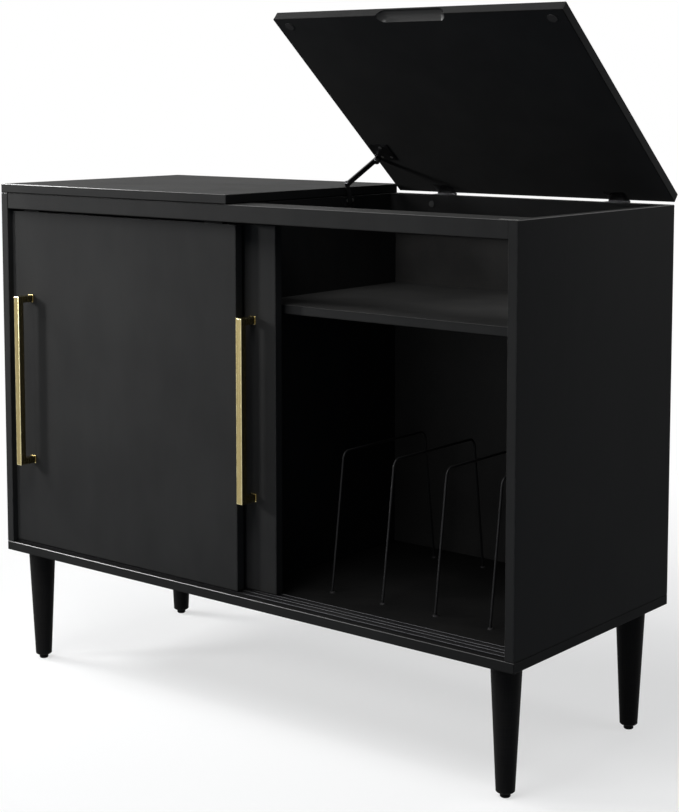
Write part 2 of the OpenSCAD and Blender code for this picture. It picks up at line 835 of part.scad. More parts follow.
// The arm, with the rivet head of its elbow
module stay_arm() {
    rivet_d = link_w - 2;
    rivet_t = 1.5;
    color(dark_steel) place() difference() {
        union() {
            link_plate(arm_x, bracket_pivot, elbow);
            bar_x([arm_x, elbow[0], elbow[1]], link_t + rivet_t, rivet_d);
        }
        bar_x(
            [arm_x - cut, bracket_pivot[0], bracket_pivot[1]],
            link_t + 2 * cut, lid_pivot_d + 2 * pin_clear
        );
    }
}

// Angle bracket under the lid: a plate against the lid and an ear that holds the arm
module stay_lid_bracket() {
    y0 = bracket_closed[0];
    z0 = bracket_closed[1];
    plate_z = lid_z - bracket_size[2];
    color(dark_steel) lid_place() difference() {
        union() {
            translate([bracket_low[0], bracket_low[1], plate_z]) cube(bracket_size);
            block([ear_x, y0 - ear_d / 2, z0], [ear_x + link_t, y0 + ear_d / 2, lid_z]);
            bar_x([ear_x, y0, z0], link_t, ear_d);
        }
        bar_x([ear_x - cut, y0, z0], link_t + 2 * cut, lid_pivot_d + 2 * fit);
        for (p = bracket_screws)
            flat_screw_hole([p[0], p[1], plate_z], bracket_size[2], 1);
    }
}

// The pin through the arm and the ear, with a flat head at each end
module stay_lid_pin() {
    y0 = bracket_closed[0];
    z0 = bracket_closed[1];
    head_t = 1;
    head_gap = link_gap - 0.1;
    pin_start = arm_x - head_gap;
    color(steel) lid_place() {
        bar_x([pin_start, y0, z0], ear_x + link_t - pin_start, lid_pivot_d);
        bar_x([pin_start - head_t, y0, z0], head_t, pin_head_d);
        bar_x([ear_x + link_t, y0, z0], head_t, pin_head_d);
    }
}

module stay_housing_screws() {
    shank = screw_len + housing_t - screw_seat - fit;
    color(steel) place() for (p = housing_screws) {
        bar_x([top_w - screw_len + fit, p[0], p[1]], shank, screw_d);
        bar_x([top_w + housing_t - screw_seat, p[0], p[1]], screw_seat - 0.2, screw_head_d);
    }
}

module stay_bracket_screws() {
    color(steel) lid_place() for (p = bracket_screws)
        flat_screw([p[0], p[1], lid_z - bracket_size[2]], bracket_size[2], 1);
}

module lid_panel() {
    mid_x = lid_x + lid_w / 2;
    half = scoop_len / 2 - scoop_r;
    color(black) lid_place() difference() {
        board_block([lid_x, lid_front, lid_z], [body_w, lid_back, lid_z + board]);
        bar_x([mid_x - half, lid_front, scoop_z], 2 * half, 2 * scoop_r);
        for (dx = [-half, half])
            translate([mid_x + dx, lid_front, scoop_z]) sphere(r = scoop_r);
        for (x = hinge_spots) {
            block([x - hinge_w / 2 - fit, leaf_y - fit, lid_z - cut],
                [x + hinge_w / 2 + fit, lid_back + cut, lid_z + hinge_leaf_t]);
            for (dx = [-1, 1])
                translate([x + dx * hinge_w / 4, leaf_screw_y, lid_z])
                    cylinder(h = screw_len + fit, d = screw_d + 2 * fit);
        }
        for (p = bracket_screws)
            translate([p[0], p[1], lid_z - cut]) cylinder(h = screw_len + cut, d = screw_d + 2 * fit);
    }
}

module lid_bumpers() {
    color(soft_black) lid_place() for (x = [lid_x + bumper_inset, body_w - bumper_inset])
        translate([x, lid_front + bumper_back, lid_z - bumper_h])
            cylinder(h = bumper_h, d1 = bumper_d - 1, d2 = bumper_d);
}

// A door from its left edge and face, with seats for its guides and handle screws
module door_panel(x, y, handle_x) {
    mid_y = y + door_t / 2;
    color(black) place() difference() {
        board_block([x, y, door_z], [x + door_w, y + door_t, door_z + door_h]);
        for (gx = guide_spots(x), z = [door_z - cut, door_z + door_h - guide_seat])
            translate([gx - fit, mid_y - guide_w / 2 - fit, z])
                cube([guide_len + 2 * fit, guide_w + 2 * fit, guide_seat + cut]);
        for (z = post_levels)
            bar_y([handle_x, y - cut, z], door_t + 2 * cut, handle_screw_d + 2 * fit);
    }
}

// A square bar on two posts that end in thin feet, all of one piece
module bar_handle(x, y) {
    z0 = handle_z;
    z1 = handle_z + handle_len;
    front = y - handle_reach;
    inner = front + handle_bar_d;
    foot = [handle_w / 2 + handle_foot_rim, handle_post_h / 2 + handle_foot_rim];
    color(brass) place() difference() {
        union() {
            translate([x - handle_w / 2, 0, 0]) rotate([90, 0, 90]) linear_extrude(handle_w) polygon([
                [y, z0], [y, z0 + handle_post_h], [inner, z0 + handle_post_h], [inner, z1 - handle_post_h],
                [y, z1 - handle_post_h], [y, z1], [front, z1], [front, z0]
            ]);
            for (z = post_levels)
                block([x - foot[0], y - handle_foot_t, z - foot[1]], [x + foot[0], y, z + foot[1]]);
        }
        for (z = post_levels)
            bar_y([x, y - handle_thread, z], handle_thread + cut, handle_screw_d + 2 * fit);
    }
}

// Glides under a door and guides above it, each in its own seat
module door_guides(x, y) {
    y0 = y + door_t / 2 - guide_w / 2;
    y1 = y0 + guide_w;
    low = board + track_base + guide_gap;
    high = rail_z + top_track_h - track_base - guide_gap;
    color(soft_black) place() for (gx = guide_spots(x)) {
        block([gx, y0, low], [gx + guide_len, y1, door_z + guide_seat - cut]);
        block([gx, y0, door_z + door_h - guide_seat], [gx + guide_len, y1, high]);
    }
}

// Pan head screws through a door into the posts of its handle
module handle_screws(x, y) {
    grip = handle_thread - 1;
    color(steel) place() for (z = post_levels) {
        bar_y([x, y - grip, z], grip + door_t, handle_screw_d);
        bar_y([x, y + door_t, z], handle_head_t, handle_screw_d * 2);
    }
}

module front_door_panel() { door_panel(front_door_x, door_recess, front_handle_x); }
module front_door_handle() { bar_handle(front_handle_x, door_recess); }
module front_door_guides() { door_guides(front_door_x, door_recess); }
module front_handle_screws() { handle_screws(front_handle_x, door_recess); }
module rear_door_panel() { door_panel(rear_door_x, rear_door_y, rear_handle_x); }
module rear_door_handle() { bar_handle(rear_handle_x, rear_door_y); }
module rear_door_guides() { door_guides(rear_door_x, rear_door_y); }
module rear_handle_screws() { handle_screws(rear_handle_x, rear_door_y); }

left_side_panel();
right_side_panel();
bottom_panel();
fixed_top();
front_rail();
back_rail();
centre_divider();
left_back_panel();
right_back_panel();
turntable_shelf();
left_shelf();
shelf_pins();
bottom_track();
top_track();
record_divider_1();
record_divider_2();
record_divider_3();
record_divider_4();
divider_grommets();
front_left_leg();
front_right_leg();
rear_left_leg();
rear_right_leg();
front_left_glide();
front_right_glide();
rear_left_glide();
rear_right_glide();
leg_bolts();
leg_inserts();
shelf_cams();
shelf_cam_bolts();
carcase_dowels();
rail_screw_caps();
corner_brace();
corner_brace_screws();
left_hinge_frame_leaf();
right_hinge_frame_leaf();
hinge_pins();
hinge_frame_screws();
stay_housing();
stay_crank();
stay_arm();
stay_lid_bracket();
stay_lid_pin();
stay_housing_screws();
stay_bracket_screws();
lid_panel();
lid_bumpers();
left_hinge_lid_leaf();
right_hinge_lid_leaf();
hinge_lid_screws();
front_door_panel();
front_door_handle();
front_door_guides();
front_handle_screws();
rear_door_panel();
rear_door_handle();
rear_door_guides();
rear_handle_screws();
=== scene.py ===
"""Looks of the record player stand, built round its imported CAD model.

Everything is in metres in the shared frame: X runs along the width, Y from the
doors to the back and Z up. Sizes of pieces are dataclass fields in millimetres,
in the cabinet's own frame, whose corner is the front left underside of the
bottom panel. Places turns them into points of the shared frame. Sizes inside a
finish are in metres.
"""

import json
import logging
import math
import random
from dataclasses import dataclass
from enum import Enum

import bmesh
import bpy
from mathutils import Matrix, Vector


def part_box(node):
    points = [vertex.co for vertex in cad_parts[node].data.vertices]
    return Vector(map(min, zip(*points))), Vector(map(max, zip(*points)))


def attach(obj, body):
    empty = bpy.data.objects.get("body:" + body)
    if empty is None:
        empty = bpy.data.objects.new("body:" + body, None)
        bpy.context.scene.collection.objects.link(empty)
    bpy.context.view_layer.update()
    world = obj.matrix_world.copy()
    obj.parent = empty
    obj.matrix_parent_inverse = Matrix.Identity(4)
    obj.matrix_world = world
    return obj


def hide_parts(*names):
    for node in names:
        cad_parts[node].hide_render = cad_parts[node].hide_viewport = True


LOG = logging.getLogger("record_stand")

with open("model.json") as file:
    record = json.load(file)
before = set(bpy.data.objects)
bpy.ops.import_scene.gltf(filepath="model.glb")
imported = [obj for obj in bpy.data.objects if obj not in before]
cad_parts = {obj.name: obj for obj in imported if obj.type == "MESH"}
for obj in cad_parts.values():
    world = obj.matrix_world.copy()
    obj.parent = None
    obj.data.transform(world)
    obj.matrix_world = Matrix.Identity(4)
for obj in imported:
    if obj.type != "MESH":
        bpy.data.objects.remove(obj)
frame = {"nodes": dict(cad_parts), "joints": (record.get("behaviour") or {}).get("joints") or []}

Rgb = tuple[float, float, float]
Point = tuple[float, float, float]
Span = tuple[float, float]
Names = tuple[str, ...]
Node = bpy.types.Node
Tree = bpy.types.NodeTree
Socket = bpy.types.NodeSocket
Material = bpy.types.Material
Mesh = bmesh.types.BMesh
Corners = list[bmesh.types.BMVert]

PER_METRE = 1000
FACING_BACK = Matrix.Rotation(-math.pi / 2, 4, "X")

# Where a colour mixing node has its share, its two colours and its result
COLOUR_INPUTS = (0, 6, 7)
COLOUR_RESULT = 2


class Look(Enum):
    """The finishes, by the record's slots, with variants for the worn track and the matt guides, both darker
    as painted shade.
    """

    BOARD = "black_board"
    BACK = "back_board"
    TRACK = "grey_plastic"
    WORN_TRACK = "worn_track"
    GUIDE = "matt_guide"
    WIRE = "black_wire"
    LEG = "black_leg"
    PLASTIC = "black_plastic"
    RUBBER = "rubber"
    ZINC = "zinc_steel"
    DARK = "dark_steel"
    BEECH = "beech"
    BRASS = "brushed_brass"


class Body(Enum):
    """The CAD bodies that pieces of the scene ride on."""

    CABINET = "cabinet"
    LID = "lid"
    FRONT_DOOR = "front_door"
    REAR_DOOR = "rear_door"


class Places:
    """Turns millimetres in the cabinet's frame into points of the shared frame."""

    def __init__(self) -> None:
        """Reads the cabinet's corner and the lid's hinge from the frame."""
        self.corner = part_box("bottom_panel")[0]
        hinge = next(j for j in frame["joints"] if j["name"] == "lid_hinge")
        self.hinge = Vector(hinge["pos_m"])
        self.opening = math.radians(hinge["range_deg"][1])

    def at(self, x: float, y: float, z: float) -> Vector:
        """The point of the shared frame at a place on the cabinet."""
        return self.corner + Vector((x, y, z)) / PER_METRE

    def on_cabinet(self, x: float, y: float, z: float) -> Matrix:
        """The placement of a piece on the cabinet."""
        return Matrix.Translation(self.at(x, y, z))

    def on_lid(self, x: float, y: float, z: float) -> Matrix:
        """The placement on the open lid of a piece whose place is that with the lid closed."""
        hinge = Matrix.Translation(self.hinge)
        return hinge @ Matrix.Rotation(-self.opening, 4, "X") @ hinge.inverted() @ self.on_cabinet(x, y, z)


@dataclass(frozen=True)
class Grain:
    """A noise: its cells per metre, its finer layers and their weight.

    It runs long along X, Y or Z where its stretch is below 1.
    """

    scale: float
    detail: float
    weight: float
    stretch: Point | None = None


class NodeSheet:
    """Adds and joins the nodes of one material or node group."""

    def __init__(self, tree: Tree) -> None:
        """Starts on an empty tree."""
        self.tree = tree
        tree.nodes.clear()

    def node(self, kind: str, **settings: object) -> Node:
        """Adds a node.

        Args:
            kind: The node's type, without its first words.
            **settings: Its properties by name.

        Returns:
            The node.
        """
        made = self.tree.nodes.new("ShaderNode" + kind)
        for name, value in settings.items():
            setattr(made, name, value)
        return made

    def join(self, source: object, target: Socket) -> None:
        """Links a socket to an input, or sets the input.

        Args:
            source: A socket, a number, a vector or a colour.
            target: The input.
        """
        if isinstance(source, Socket):
            self.tree.links.new(source, target)
        elif target.type == "RGBA":
            target.default_value = (*source, 1.0)
        else:
            target.default_value = source

    def fill(self, node: Node, *sources: object) -> Node:
        """Joins the first inputs of a node in their order.

        Args:
            node: The node.
            *sources: A socket or a value for each input.

        Returns:
            The node.
        """
        for source, target in zip(sources, node.inputs):
            self.join(source, target)
        return node

    def feed(self, node: Node, **sources: object) -> Node:
        """Joins inputs of a node by name.

        Args:
            node: The node.
            **sources: A socket or a value for each input, with _ for a space in its name.

        Returns:
            The node.
        """
        for name, source in sources.items():
            self.join(source, node.inputs[name.replace("_", " ")])
        return node

    def math(self, kind: str, first: object, second: object = 0.0,
             third: object = 0.0, clamp: bool = False) -> Socket:
        """Adds a math node on sockets or numbers, which clamp keeps from 0 to 1."""
        made = self.node("Math", operation=kind, use_clamp=clamp)
        return self.fill(made, first, second, third).outputs[0]

    def times(self, first: object, second: object) -> Socket:
        """Multiplies two values."""
        return self.math("MULTIPLY", first, second)

    def blend(self, first: Socket, share: float, second: Socket) -> Socket:
        """Adds two values, the first by its share and the second by the rest."""
        return self.math("MULTIPLY_ADD", first, share, self.times(second, 1.0 - share))

    def vector(self, kind: str, first: object, second: object = (0.0, 0.0, 0.0)) -> Socket:
        """Adds a vector math node and returns its vector."""
        return self.fill(self.node("VectorMath", operation=kind), first, second).outputs[0]

    def length(self, source: Socket) -> Socket:
        """The length of a vector."""
        return self.fill(self.node("VectorMath", operation="LENGTH"), source).outputs["Value"]

    def parts(self, source: Socket) -> tuple[Socket, ...]:
        """The X, Y and Z of a vector."""
        return tuple(self.fill(self.node("SeparateXYZ"), source).outputs)

    def facing_up(self) -> Socket:
        """How far the surface looks up, from -1 to 1."""
        return self.parts(self.node("NewGeometry").outputs["Normal"])[2]

    def spread(self, source: object, low: float, high: float,
               to_low: float = 0.0, to_high: float = 1.0) -> Socket:
        """Maps the range from low to high smoothly to another one, and stays in that."""
        made = self.node("MapRange", interpolation_type="SMOOTHSTEP")
        return self.fill(made, source, low, high, to_low, to_high).outputs[0]

    def fade(self, source: object, low: float, high: float) -> Socket:
        """Maps a range smoothly from 1 down to 0."""
        return self.spread(source, low, high, 1.0, 0.0)

    def noise(self, place: Socket, grain: Grain, scale: Socket | None = None) -> Socket:
        """Adds a noise.

        Args:
            place: The point that it is read at.
            grain: Its settings.
            scale: The socket that its cells per metre come from, where they vary.

        Returns:
            The noise from 0 to 1.
        """
        place = self.vector("MULTIPLY", place, grain.stretch) if grain.stretch else place
        return self.feed(self.node("TexNoise"), Vector=place, Scale=grain.scale if scale is None else scale,
                         Detail=grain.detail, Roughness=grain.weight).outputs[0]

    def tint(self, share: object, first: object, second: object) -> Socket:
        """Mixes two colours.

        Args:
            share: How much of the second colour shows.
            first: A socket or colour.
            second: A socket or colour.

        Returns:
            The colour's socket.
        """
        made = self.node("Mix", data_type="RGBA")
        for source, index in zip((share, first, second), COLOUR_INPUTS):
            self.join(source, made.inputs[index])
        return made.outputs[COLOUR_RESULT]

    def bump(self, height: Socket, depth: float, strength: float) -> Socket:
        """Turns a height from 0 to 1, which is this deep in metres, into a normal."""
        return self.feed(self.node("Bump"), Height=height, Distance=depth, Strength=strength).outputs[0]

    def group(self, tree: Tree, **sources: object) -> bpy.types.NodeOutputs:
        """Adds a group node, joins its inputs by name and returns its outputs."""
        return self.feed(self.node("Group", node_tree=tree), **sources).outputs

    def show(self, output: str, share: Socket, first: Node, second: Node) -> None:
        """Mixes two shaders by a share into an output node of this kind."""
        mix = self.fill(self.node("MixShader"), share, first.outputs[0], second.outputs[0])
        self.feed(self.node(output), Surface=mix.outputs[0])


class GroupSheet(NodeSheet):
    """A node group with named inputs and outputs."""

    def __init__(self, name: str, vectors: Names, numbers: Names, results: Names) -> None:
        """Makes the group's sockets.

        Args:
            name: The group's name.
            vectors: Names of the inputs that are vectors.
            numbers: Names of the inputs that are numbers.
            results: Names of the outputs, which are all numbers.
        """
        super().__init__(bpy.data.node_groups.new(name, "ShaderNodeTree"))
        sockets = [(label, "INPUT", "Vector") for label in vectors]
        sockets += [(label, "INPUT", "Float") for label in numbers]
        sockets += [(label, "OUTPUT", "Float") for label in results]
        for label, way, kind in sockets:
            self.tree.interface.new_socket(label, in_out=way, socket_type="NodeSocket" + kind)
        given = self.tree.nodes.new("NodeGroupInput").outputs
        self.given = [given[label] for label in (*vectors, *numbers)]
        self.results = self.tree.nodes.new("NodeGroupOutput")


class Effects:
    """The shader node groups that several finishes share, with the sizes of a broken edge."""

    crest_drop: Span = (0.0011, 0.0014)
    crest_facing: Span = (0.1, 0.3)
    chamfer: Span = (0.0009, 0.0012)
    side_skin: Span = (0.0008, 0.0010)
    shade_line_fade: Span = (0.8, 1.0)
    joint_line: float = 0.0017
    joint_width: Span = (0.0001, 0.00035)
    chips: Grain = Grain(95.0, 3.0, 0.65)
    chip_mask: Span = (0.25, 0.75)
    chip_width: Span = (0.45, 1.5)
    fine: Grain = Grain(1.0, 3.0, 0.6)
    pore_scale: float = 0.42
    pore_mask: Span = (0.1, 0.7)
    pore_share: float = 0.45
    slow: Grain = Grain(5.5, 3.0, 0.55)
    slow_share: float = 0.6
    smears: Grain = Grain(24.0, 4.0, 0.6, (1.0, 1.0, 0.35))
    lines: Grain = Grain(1.0, 4.0, 0.7)
    streaks: Grain = Grain(0.22, 2.0, 0.5)
    dust_facing: Span = (0.6, 0.98)
    patches: Grain = Grain(9.0, 5.0, 0.65)
    patch_mask: Span = (0.35, 0.75)
    specks: Grain = Grain(900.0, 1.0, 0.5)
    speck_mask: Span = (0.66, 0.76)
    speck_share: float = 0.5

    def __init__(self) -> None:
        """Builds every group once."""
        self.edges = self.board_edges()
        self.tooth = self.foil_tooth()
        self.brushed = self.brushed_lines()
        self.dust = self.settled_dust()

    def board_edges(self) -> Tree:
        """Masks of a board's rubbed edges, partly painted highlight, tape joints, upper edges and a painted
        shade line at its base.

        Returns:
            A group that takes the place, the board's middle and half size, the
            width of the wear and the height of the painted shade line at the underside.
        """
        sheet = GroupSheet("board_edges", ("Place", "Middle", "Half"), ("Width", "Seam"),
                           ("Edge", "Joint", "Crest", "Under"))
        place, middle, half, width, shade_line_height = sheet.given
        offset = sheet.vector("SUBTRACT", place, middle)
        dx, dy, dz = sheet.parts(sheet.vector("SUBTRACT", half, sheet.vector("ABSOLUTE", offset)))
        below_top = sheet.parts(sheet.vector("SUBTRACT", half, offset))[2]
        above_base = sheet.parts(sheet.vector("ADD", half, offset))[2]
        side = sheet.math("MINIMUM", dx, dy)
        inner = sheet.math("MINIMUM", sheet.math("MAXIMUM", dx, dy), dz)
        near = sheet.math("MAXIMUM", side, inner)
        chips = sheet.spread(sheet.noise(place, self.chips), *self.chip_mask, *self.chip_width)
        worn = sheet.math("DIVIDE", near, sheet.times(width, chips))
        crest = sheet.times(sheet.fade(below_top, *self.crest_drop),
                            sheet.spread(sheet.facing_up(), *self.crest_facing))
        # A dark line along the bottom of a board's sides, only on its outer skin: painted shade.
        painted_under_shade = sheet.fade(sheet.math("DIVIDE", above_base, shade_line_height), *self.shade_line_fade)
        line = sheet.math("ABSOLUTE", sheet.math("SUBTRACT", near, self.joint_line))
        sheet.feed(sheet.results, Edge=sheet.math("SUBTRACT", 1.0, worn, clamp=True),
                   Joint=sheet.fade(line, *self.joint_width),
                   Crest=sheet.times(crest, sheet.fade(near, *self.chamfer)),
                   Under=sheet.times(painted_under_shade, sheet.fade(side, *self.side_skin)))
        return sheet.tree

    def foil_tooth(self) -> Tree:
        """The fine tooth of a matt foil, and its slow change of gloss.

        Returns:
            A group that takes the place and the size of the tooth.
        """
        sheet = GroupSheet("foil_tooth", ("Place",), ("Scale",), ("Height", "Cloud"))
        place, scale = sheet.given
        fine = sheet.noise(place, self.fine, scale)
        cells = sheet.feed(sheet.node("TexVoronoi", feature="SMOOTH_F1"), Vector=place,
                           Scale=sheet.times(scale, self.pore_scale))
        pores = sheet.spread(cells.outputs["Distance"], *self.pore_mask)
        slow = sheet.noise(place, self.slow)
        smears = sheet.noise(place, self.smears)
        sheet.feed(sheet.results, Height=sheet.blend(pores, self.pore_share, fine),
                   Cloud=sheet.blend(slow, self.slow_share, smears))
        return sheet.tree

    def brushed_lines(self) -> Tree:
        """Fine parallel lines that a belt leaves in metal.

        Returns:
            A group that takes the place and how it is stretched.
        """
        sheet = GroupSheet("brushed_lines", ("Place", "Stretch"), (), ("Lines", "Streak"))
        drawn = sheet.vector("MULTIPLY", *sheet.given)
        sheet.feed(sheet.results, Lines=sheet.noise(drawn, self.lines),
                   Streak=sheet.noise(drawn, self.streaks))
        return sheet.tree

    def settled_dust(self) -> Tree:
        """Where fine dust settles: on faces that look up, in soft patches.

        Returns:
            A group that takes the place.
        """
        sheet = GroupSheet("settled_dust", ("Place",), (), ("Dust",))
        place = sheet.given[0]
        upward = sheet.spread(sheet.facing_up(), *self.dust_facing)
        patches = sheet.spread(sheet.noise(place, self.patches), *self.patch_mask)
        specks = sheet.spread(sheet.noise(place, self.specks), *self.speck_mask)
        both = sheet.math("MULTIPLY_ADD", specks, self.speck_share, patches, clamp=True)
        sheet.feed(sheet.results, Dust=sheet.times(both, upward))
        return sheet.tree


class Finish:
    """A finish: makes one material and assigns it to pieces."""

    effects: Effects
    rough: Span
    rough_mask: Span = (0.3, 0.7)
    relief: Span
    gloss: float = 0.5
    metallic: float = 0.0

    def start(self, name: str) -> tuple[Material, NodeSheet, Node, Socket]:
        """Starts a material.

        Args:
            name: The material's name.

        Returns:
            The material, its sheet, its shader and the socket of the place.
        """
        material = bpy.data.materials.new(name)
        material.use_nodes = True
        sheet = NodeSheet(material.node_tree)
        shader = sheet.node("BsdfPrincipled")
        sheet.feed(sheet.node("OutputMaterial"), Surface=shader.outputs[0])
        return material, sheet, shader, sheet.node("TexCoord").outputs["Object"]

    def surface(self, sheet: NodeSheet, shader: Node, colour: Socket, matt: Socket, height: Socket) -> None:
        """Feeds a material's shader.

        Args:
            sheet: The material's sheet.
            shader: Its shader.
            colour: The colour.
            matt: What the roughness follows, from 0 to 1.
            height: The height of the relief, from 0 to 1.
        """
        sheet.feed(shader, Base_Color=colour, Roughness=sheet.spread(matt, *self.rough_mask, *self.rough),
                   Normal=sheet.bump(height, *self.relief), Specular_IOR_Level=self.gloss,
                   Metallic=self.metallic)

    @staticmethod
    def wear(piece: bpy.types.Object, material: Material) -> None:
        """Gives a piece one material alone.

        Args:
            piece: The piece or CAD node's object.
            material: The material for all its slots.
        """
        slots = piece.data.materials
        if not slots:
            slots.append(material)
        for index in range(len(slots)):
            slots[index] = material


@dataclass(frozen=True)
class Tilt:
    """How far a board is turned about an axis along X, and through which point."""

    pivot: Vector
    angle: float


@dataclass(frozen=True)
class BlackFoil(Finish):
    """Black matt foil on a board: taped edge joints, rubbed edges that are partly painted highlight, a
    painted shade line along the base.
    """

    deep: Rgb = (0.0200, 0.0200, 0.0198)
    worn: Rgb = (0.0260, 0.0260, 0.0255)
    # The edge colour is partly rubbed wear and partly painted highlight.
    edge: Rgb = (0.060, 0.059, 0.057)
    glue: Rgb = (0.004, 0.004, 0.004)
    # Painted shade: the colour of the dark line along the bottom of a board's sides.
    painted_under_shade: Rgb = (0.003, 0.003, 0.003)
    # Painted shade: the near black that upward faces turn to in some copies of the foil.
    painted_upper_shade: Rgb = (0.0005, 0.0005, 0.0006)
    dust: Rgb = (0.16, 0.155, 0.145)
    clouds: Span = (0.3, 0.7)
    gloss: float = 0.022
    rough: Span = (0.55, 0.66)
    rough_mask: Span = (0.25, 0.75)
    tooth: float = 2600.0
    relief: Span = (0.00006, 0.5)
    joint_share: float = 0.5
    joint_groove: float = -0.7
    edge_share: float = 0.55
    edge_smooth: float = -0.12
    edge_width: float = 0.0011
    edge_shine: float = 0.9
    shine_rough: float = 0.24
    shade_line_height: float = 0.0012
    upper_unshaded_share: float = 1.0
    painted_shade_facing: Span = (0.8, 0.95)
    dust_share: float = 0.05
    dust_rough: float = 0.6

    def material(self, name: str, low: Vector, high: Vector, tilt: Tilt | None = None) -> Material:
        """The material of one board.

        Args:
            name: The board's name.
            low: The board's lowest corner.
            high: The board's highest corner.
            tilt: How the board is turned out of that box, if it is.

        Returns:
            The material, whose edges follow the board's own box.
        """
        material, sheet, shader, place = self.start(f"black_foil_{name}")
        if tilt:
            turned = sheet.node("VectorRotate", rotation_type="X_AXIS")
            sheet.feed(turned, Vector=place, Center=tilt.pivot, Angle=tilt.angle)
            place = turned.outputs[0]
        edges = sheet.group(self.effects.edges, Place=place, Middle=(low + high) / 2,
                            Half=(high - low) / 2, Width=self.edge_width, Seam=self.shade_line_height)
        tooth, cloud = sheet.group(self.effects.tooth, Place=place, Scale=self.tooth)
        dust = sheet.group(self.effects.dust, Place=place)[0]
        colour = sheet.tint(sheet.spread(cloud, *self.clouds), self.deep, self.worn)
        # Joints darken, edges lighten partly as wear and partly as painted highlight, and the lowest line
        # darkens as painted shade.
        for share, other in ((sheet.times(edges["Joint"], self.joint_share), self.glue),
                             (sheet.times(edges["Edge"], self.edge_share), self.edge),
                             (edges["Under"], self.painted_under_shade)):
            colour = sheet.tint(share, colour, other)
        # Upward faces darkened towards near black: painted shade.
        if self.upper_unshaded_share < 1.0:
            upper = sheet.spread(sheet.facing_up(), *self.painted_shade_facing, 0.0, 1.0 - self.upper_unshaded_share)
            colour = sheet.tint(upper, colour, self.painted_upper_shade)
        settled = sheet.times(dust, self.dust_share)
        matt = sheet.spread(cloud, *self.rough_mask, *self.rough)
        matt = sheet.math("MULTIPLY_ADD", settled, self.dust_rough, matt)
        height = sheet.math("MULTIPLY_ADD", edges["Joint"], self.joint_groove, tooth)
        shine = sheet.times(edges["Crest"], self.edge_shine)
        sheet.feed(shader, Base_Color=sheet.tint(settled, colour, self.dust),
                   Roughness=sheet.math("MULTIPLY_ADD", edges["Edge"], self.edge_smooth, matt),
                   Normal=sheet.bump(height, *self.relief), Specular_IOR_Level=self.gloss,
                   Coat_Weight=self.milled_shine(sheet, place, shine), Coat_Roughness=self.shine_rough)
        return material

    def milled_shine(self, sheet: NodeSheet, place: Socket, shine: Socket) -> Socket:
        """The shine of the edges, to which a milled board adds its own."""
        return shine


@dataclass(frozen=True)
class ScoopedFoil(BlackFoil):
    """Foil on the lid, whose finger scoop is milled out and lacquered."""

    axis: Point = (0.0, 0.0, 0.0)
    reach: float = 0.0655
    radius: float = 0.015
    lip: Span = (0.0001, 0.0006)
    milled: float = 0.22

    def milled_shine(self, sheet: NodeSheet, place: Socket, shine: Socket) -> Socket:
        """Adds the lacquer of the scoop, which lies round its axis.

        Args:
            sheet: The material's sheet.
            place: The point on the closed lid.
            shine: The shine of the edges.

        Returns:
            The shine of both.
        """
        x, y, z = sheet.parts(sheet.vector("SUBTRACT", place, self.axis))
        past = sheet.math("SUBTRACT", sheet.math("ABSOLUTE", x), self.reach - self.radius)
        along = sheet.math("MAXIMUM", past, 0.0)
        off = sheet.length(sheet.fill(sheet.node("CombineXYZ"), along, y, z).outputs[0])
        start, end = (self.radius + width for width in self.lip)
        return sheet.math("MAXIMUM", shine, sheet.spread(off, start, end, self.milled, 0.0))


@dataclass(frozen=True)
class BackBoard(Finish):
    """Thin hardboard, painted on one side, with pressed fibres."""

    deep: Rgb = (0.010, 0.0098, 0.0095)
    light: Rgb = (0.026, 0.025, 0.024)
    fibres: Grain = Grain(620.0, 5.0, 0.7, (1.0, 1.0, 0.45))
    patches: Grain = Grain(14.0, 4.0, 0.6)
    patch_share: float = 0.5
    mottle: Span = (0.3, 0.72)
    rough: Span = (0.56, 0.74)
    relief: Span = (0.00012, 0.6)
    gloss: float = 0.3

    def material(self) -> Material:
        """Mixes pressed fibres with slow patches.

        Returns:
            The material of the back panels.
        """
        material, sheet, shader, place = self.start("painted_hardboard")
        fibres = sheet.noise(place, self.fibres)
        mixed = sheet.blend(sheet.noise(place, self.patches), self.patch_share, fibres)
        colour = sheet.tint(sheet.spread(mixed, *self.mottle), self.deep, self.light)
        self.surface(sheet, shader, colour, mixed, fibres)
        return material


@dataclass(frozen=True)
class TurnedPaint(Finish):
    """Satin black paint on a turned wooden leg: faint turning rings and grain."""

    deep: Rgb = (0.0085, 0.0083, 0.0080)
    light: Rgb = (0.0135, 0.0130, 0.0125)
    rubbed: Rgb = (0.05, 0.042, 0.035)
    foot: float = 0.0
    rubbed_height: float = 0.012
    rings: Grain = Grain(900.0, 3.0, 0.6, (0.02, 0.02, 1.0))
    ring_share: float = 0.45
    grain: Grain = Grain(480.0, 4.0, 0.65, (1.0, 1.0, 0.06))
    mottle: Span = (0.35, 0.68)
    scuffs: Grain = Grain(210.0, 4.0, 0.7)
    scuff_mask: Span = (0.56, 0.7)
    scuff_share: float = 0.6
    rough: Span = (0.5, 0.6)
    relief: Span = (0.00005, 0.6)
    gloss: float = 0.03

    def material(self) -> Material:
        """Mixes turning rings and grain, with scuffs where the wood starts.

        Returns:
            The material of the legs.
        """
        material, sheet, shader, place = self.start("satin_black_paint")
        rings = sheet.noise(place, self.rings)
        grain = sheet.noise(place, self.grain)
        mixed = sheet.blend(rings, self.ring_share, grain)
        colour = sheet.tint(sheet.spread(mixed, *self.mottle), self.deep, self.light)
        scuffs = sheet.spread(sheet.noise(place, self.scuffs), *self.scuff_mask)
        low = sheet.fade(sheet.parts(place)[2], self.foot, self.foot + self.rubbed_height)
        rub = sheet.times(sheet.times(scuffs, low), self.scuff_share)
        self.surface(sheet, shader, sheet.tint(rub, colour, self.rubbed), mixed, mixed)
        return material


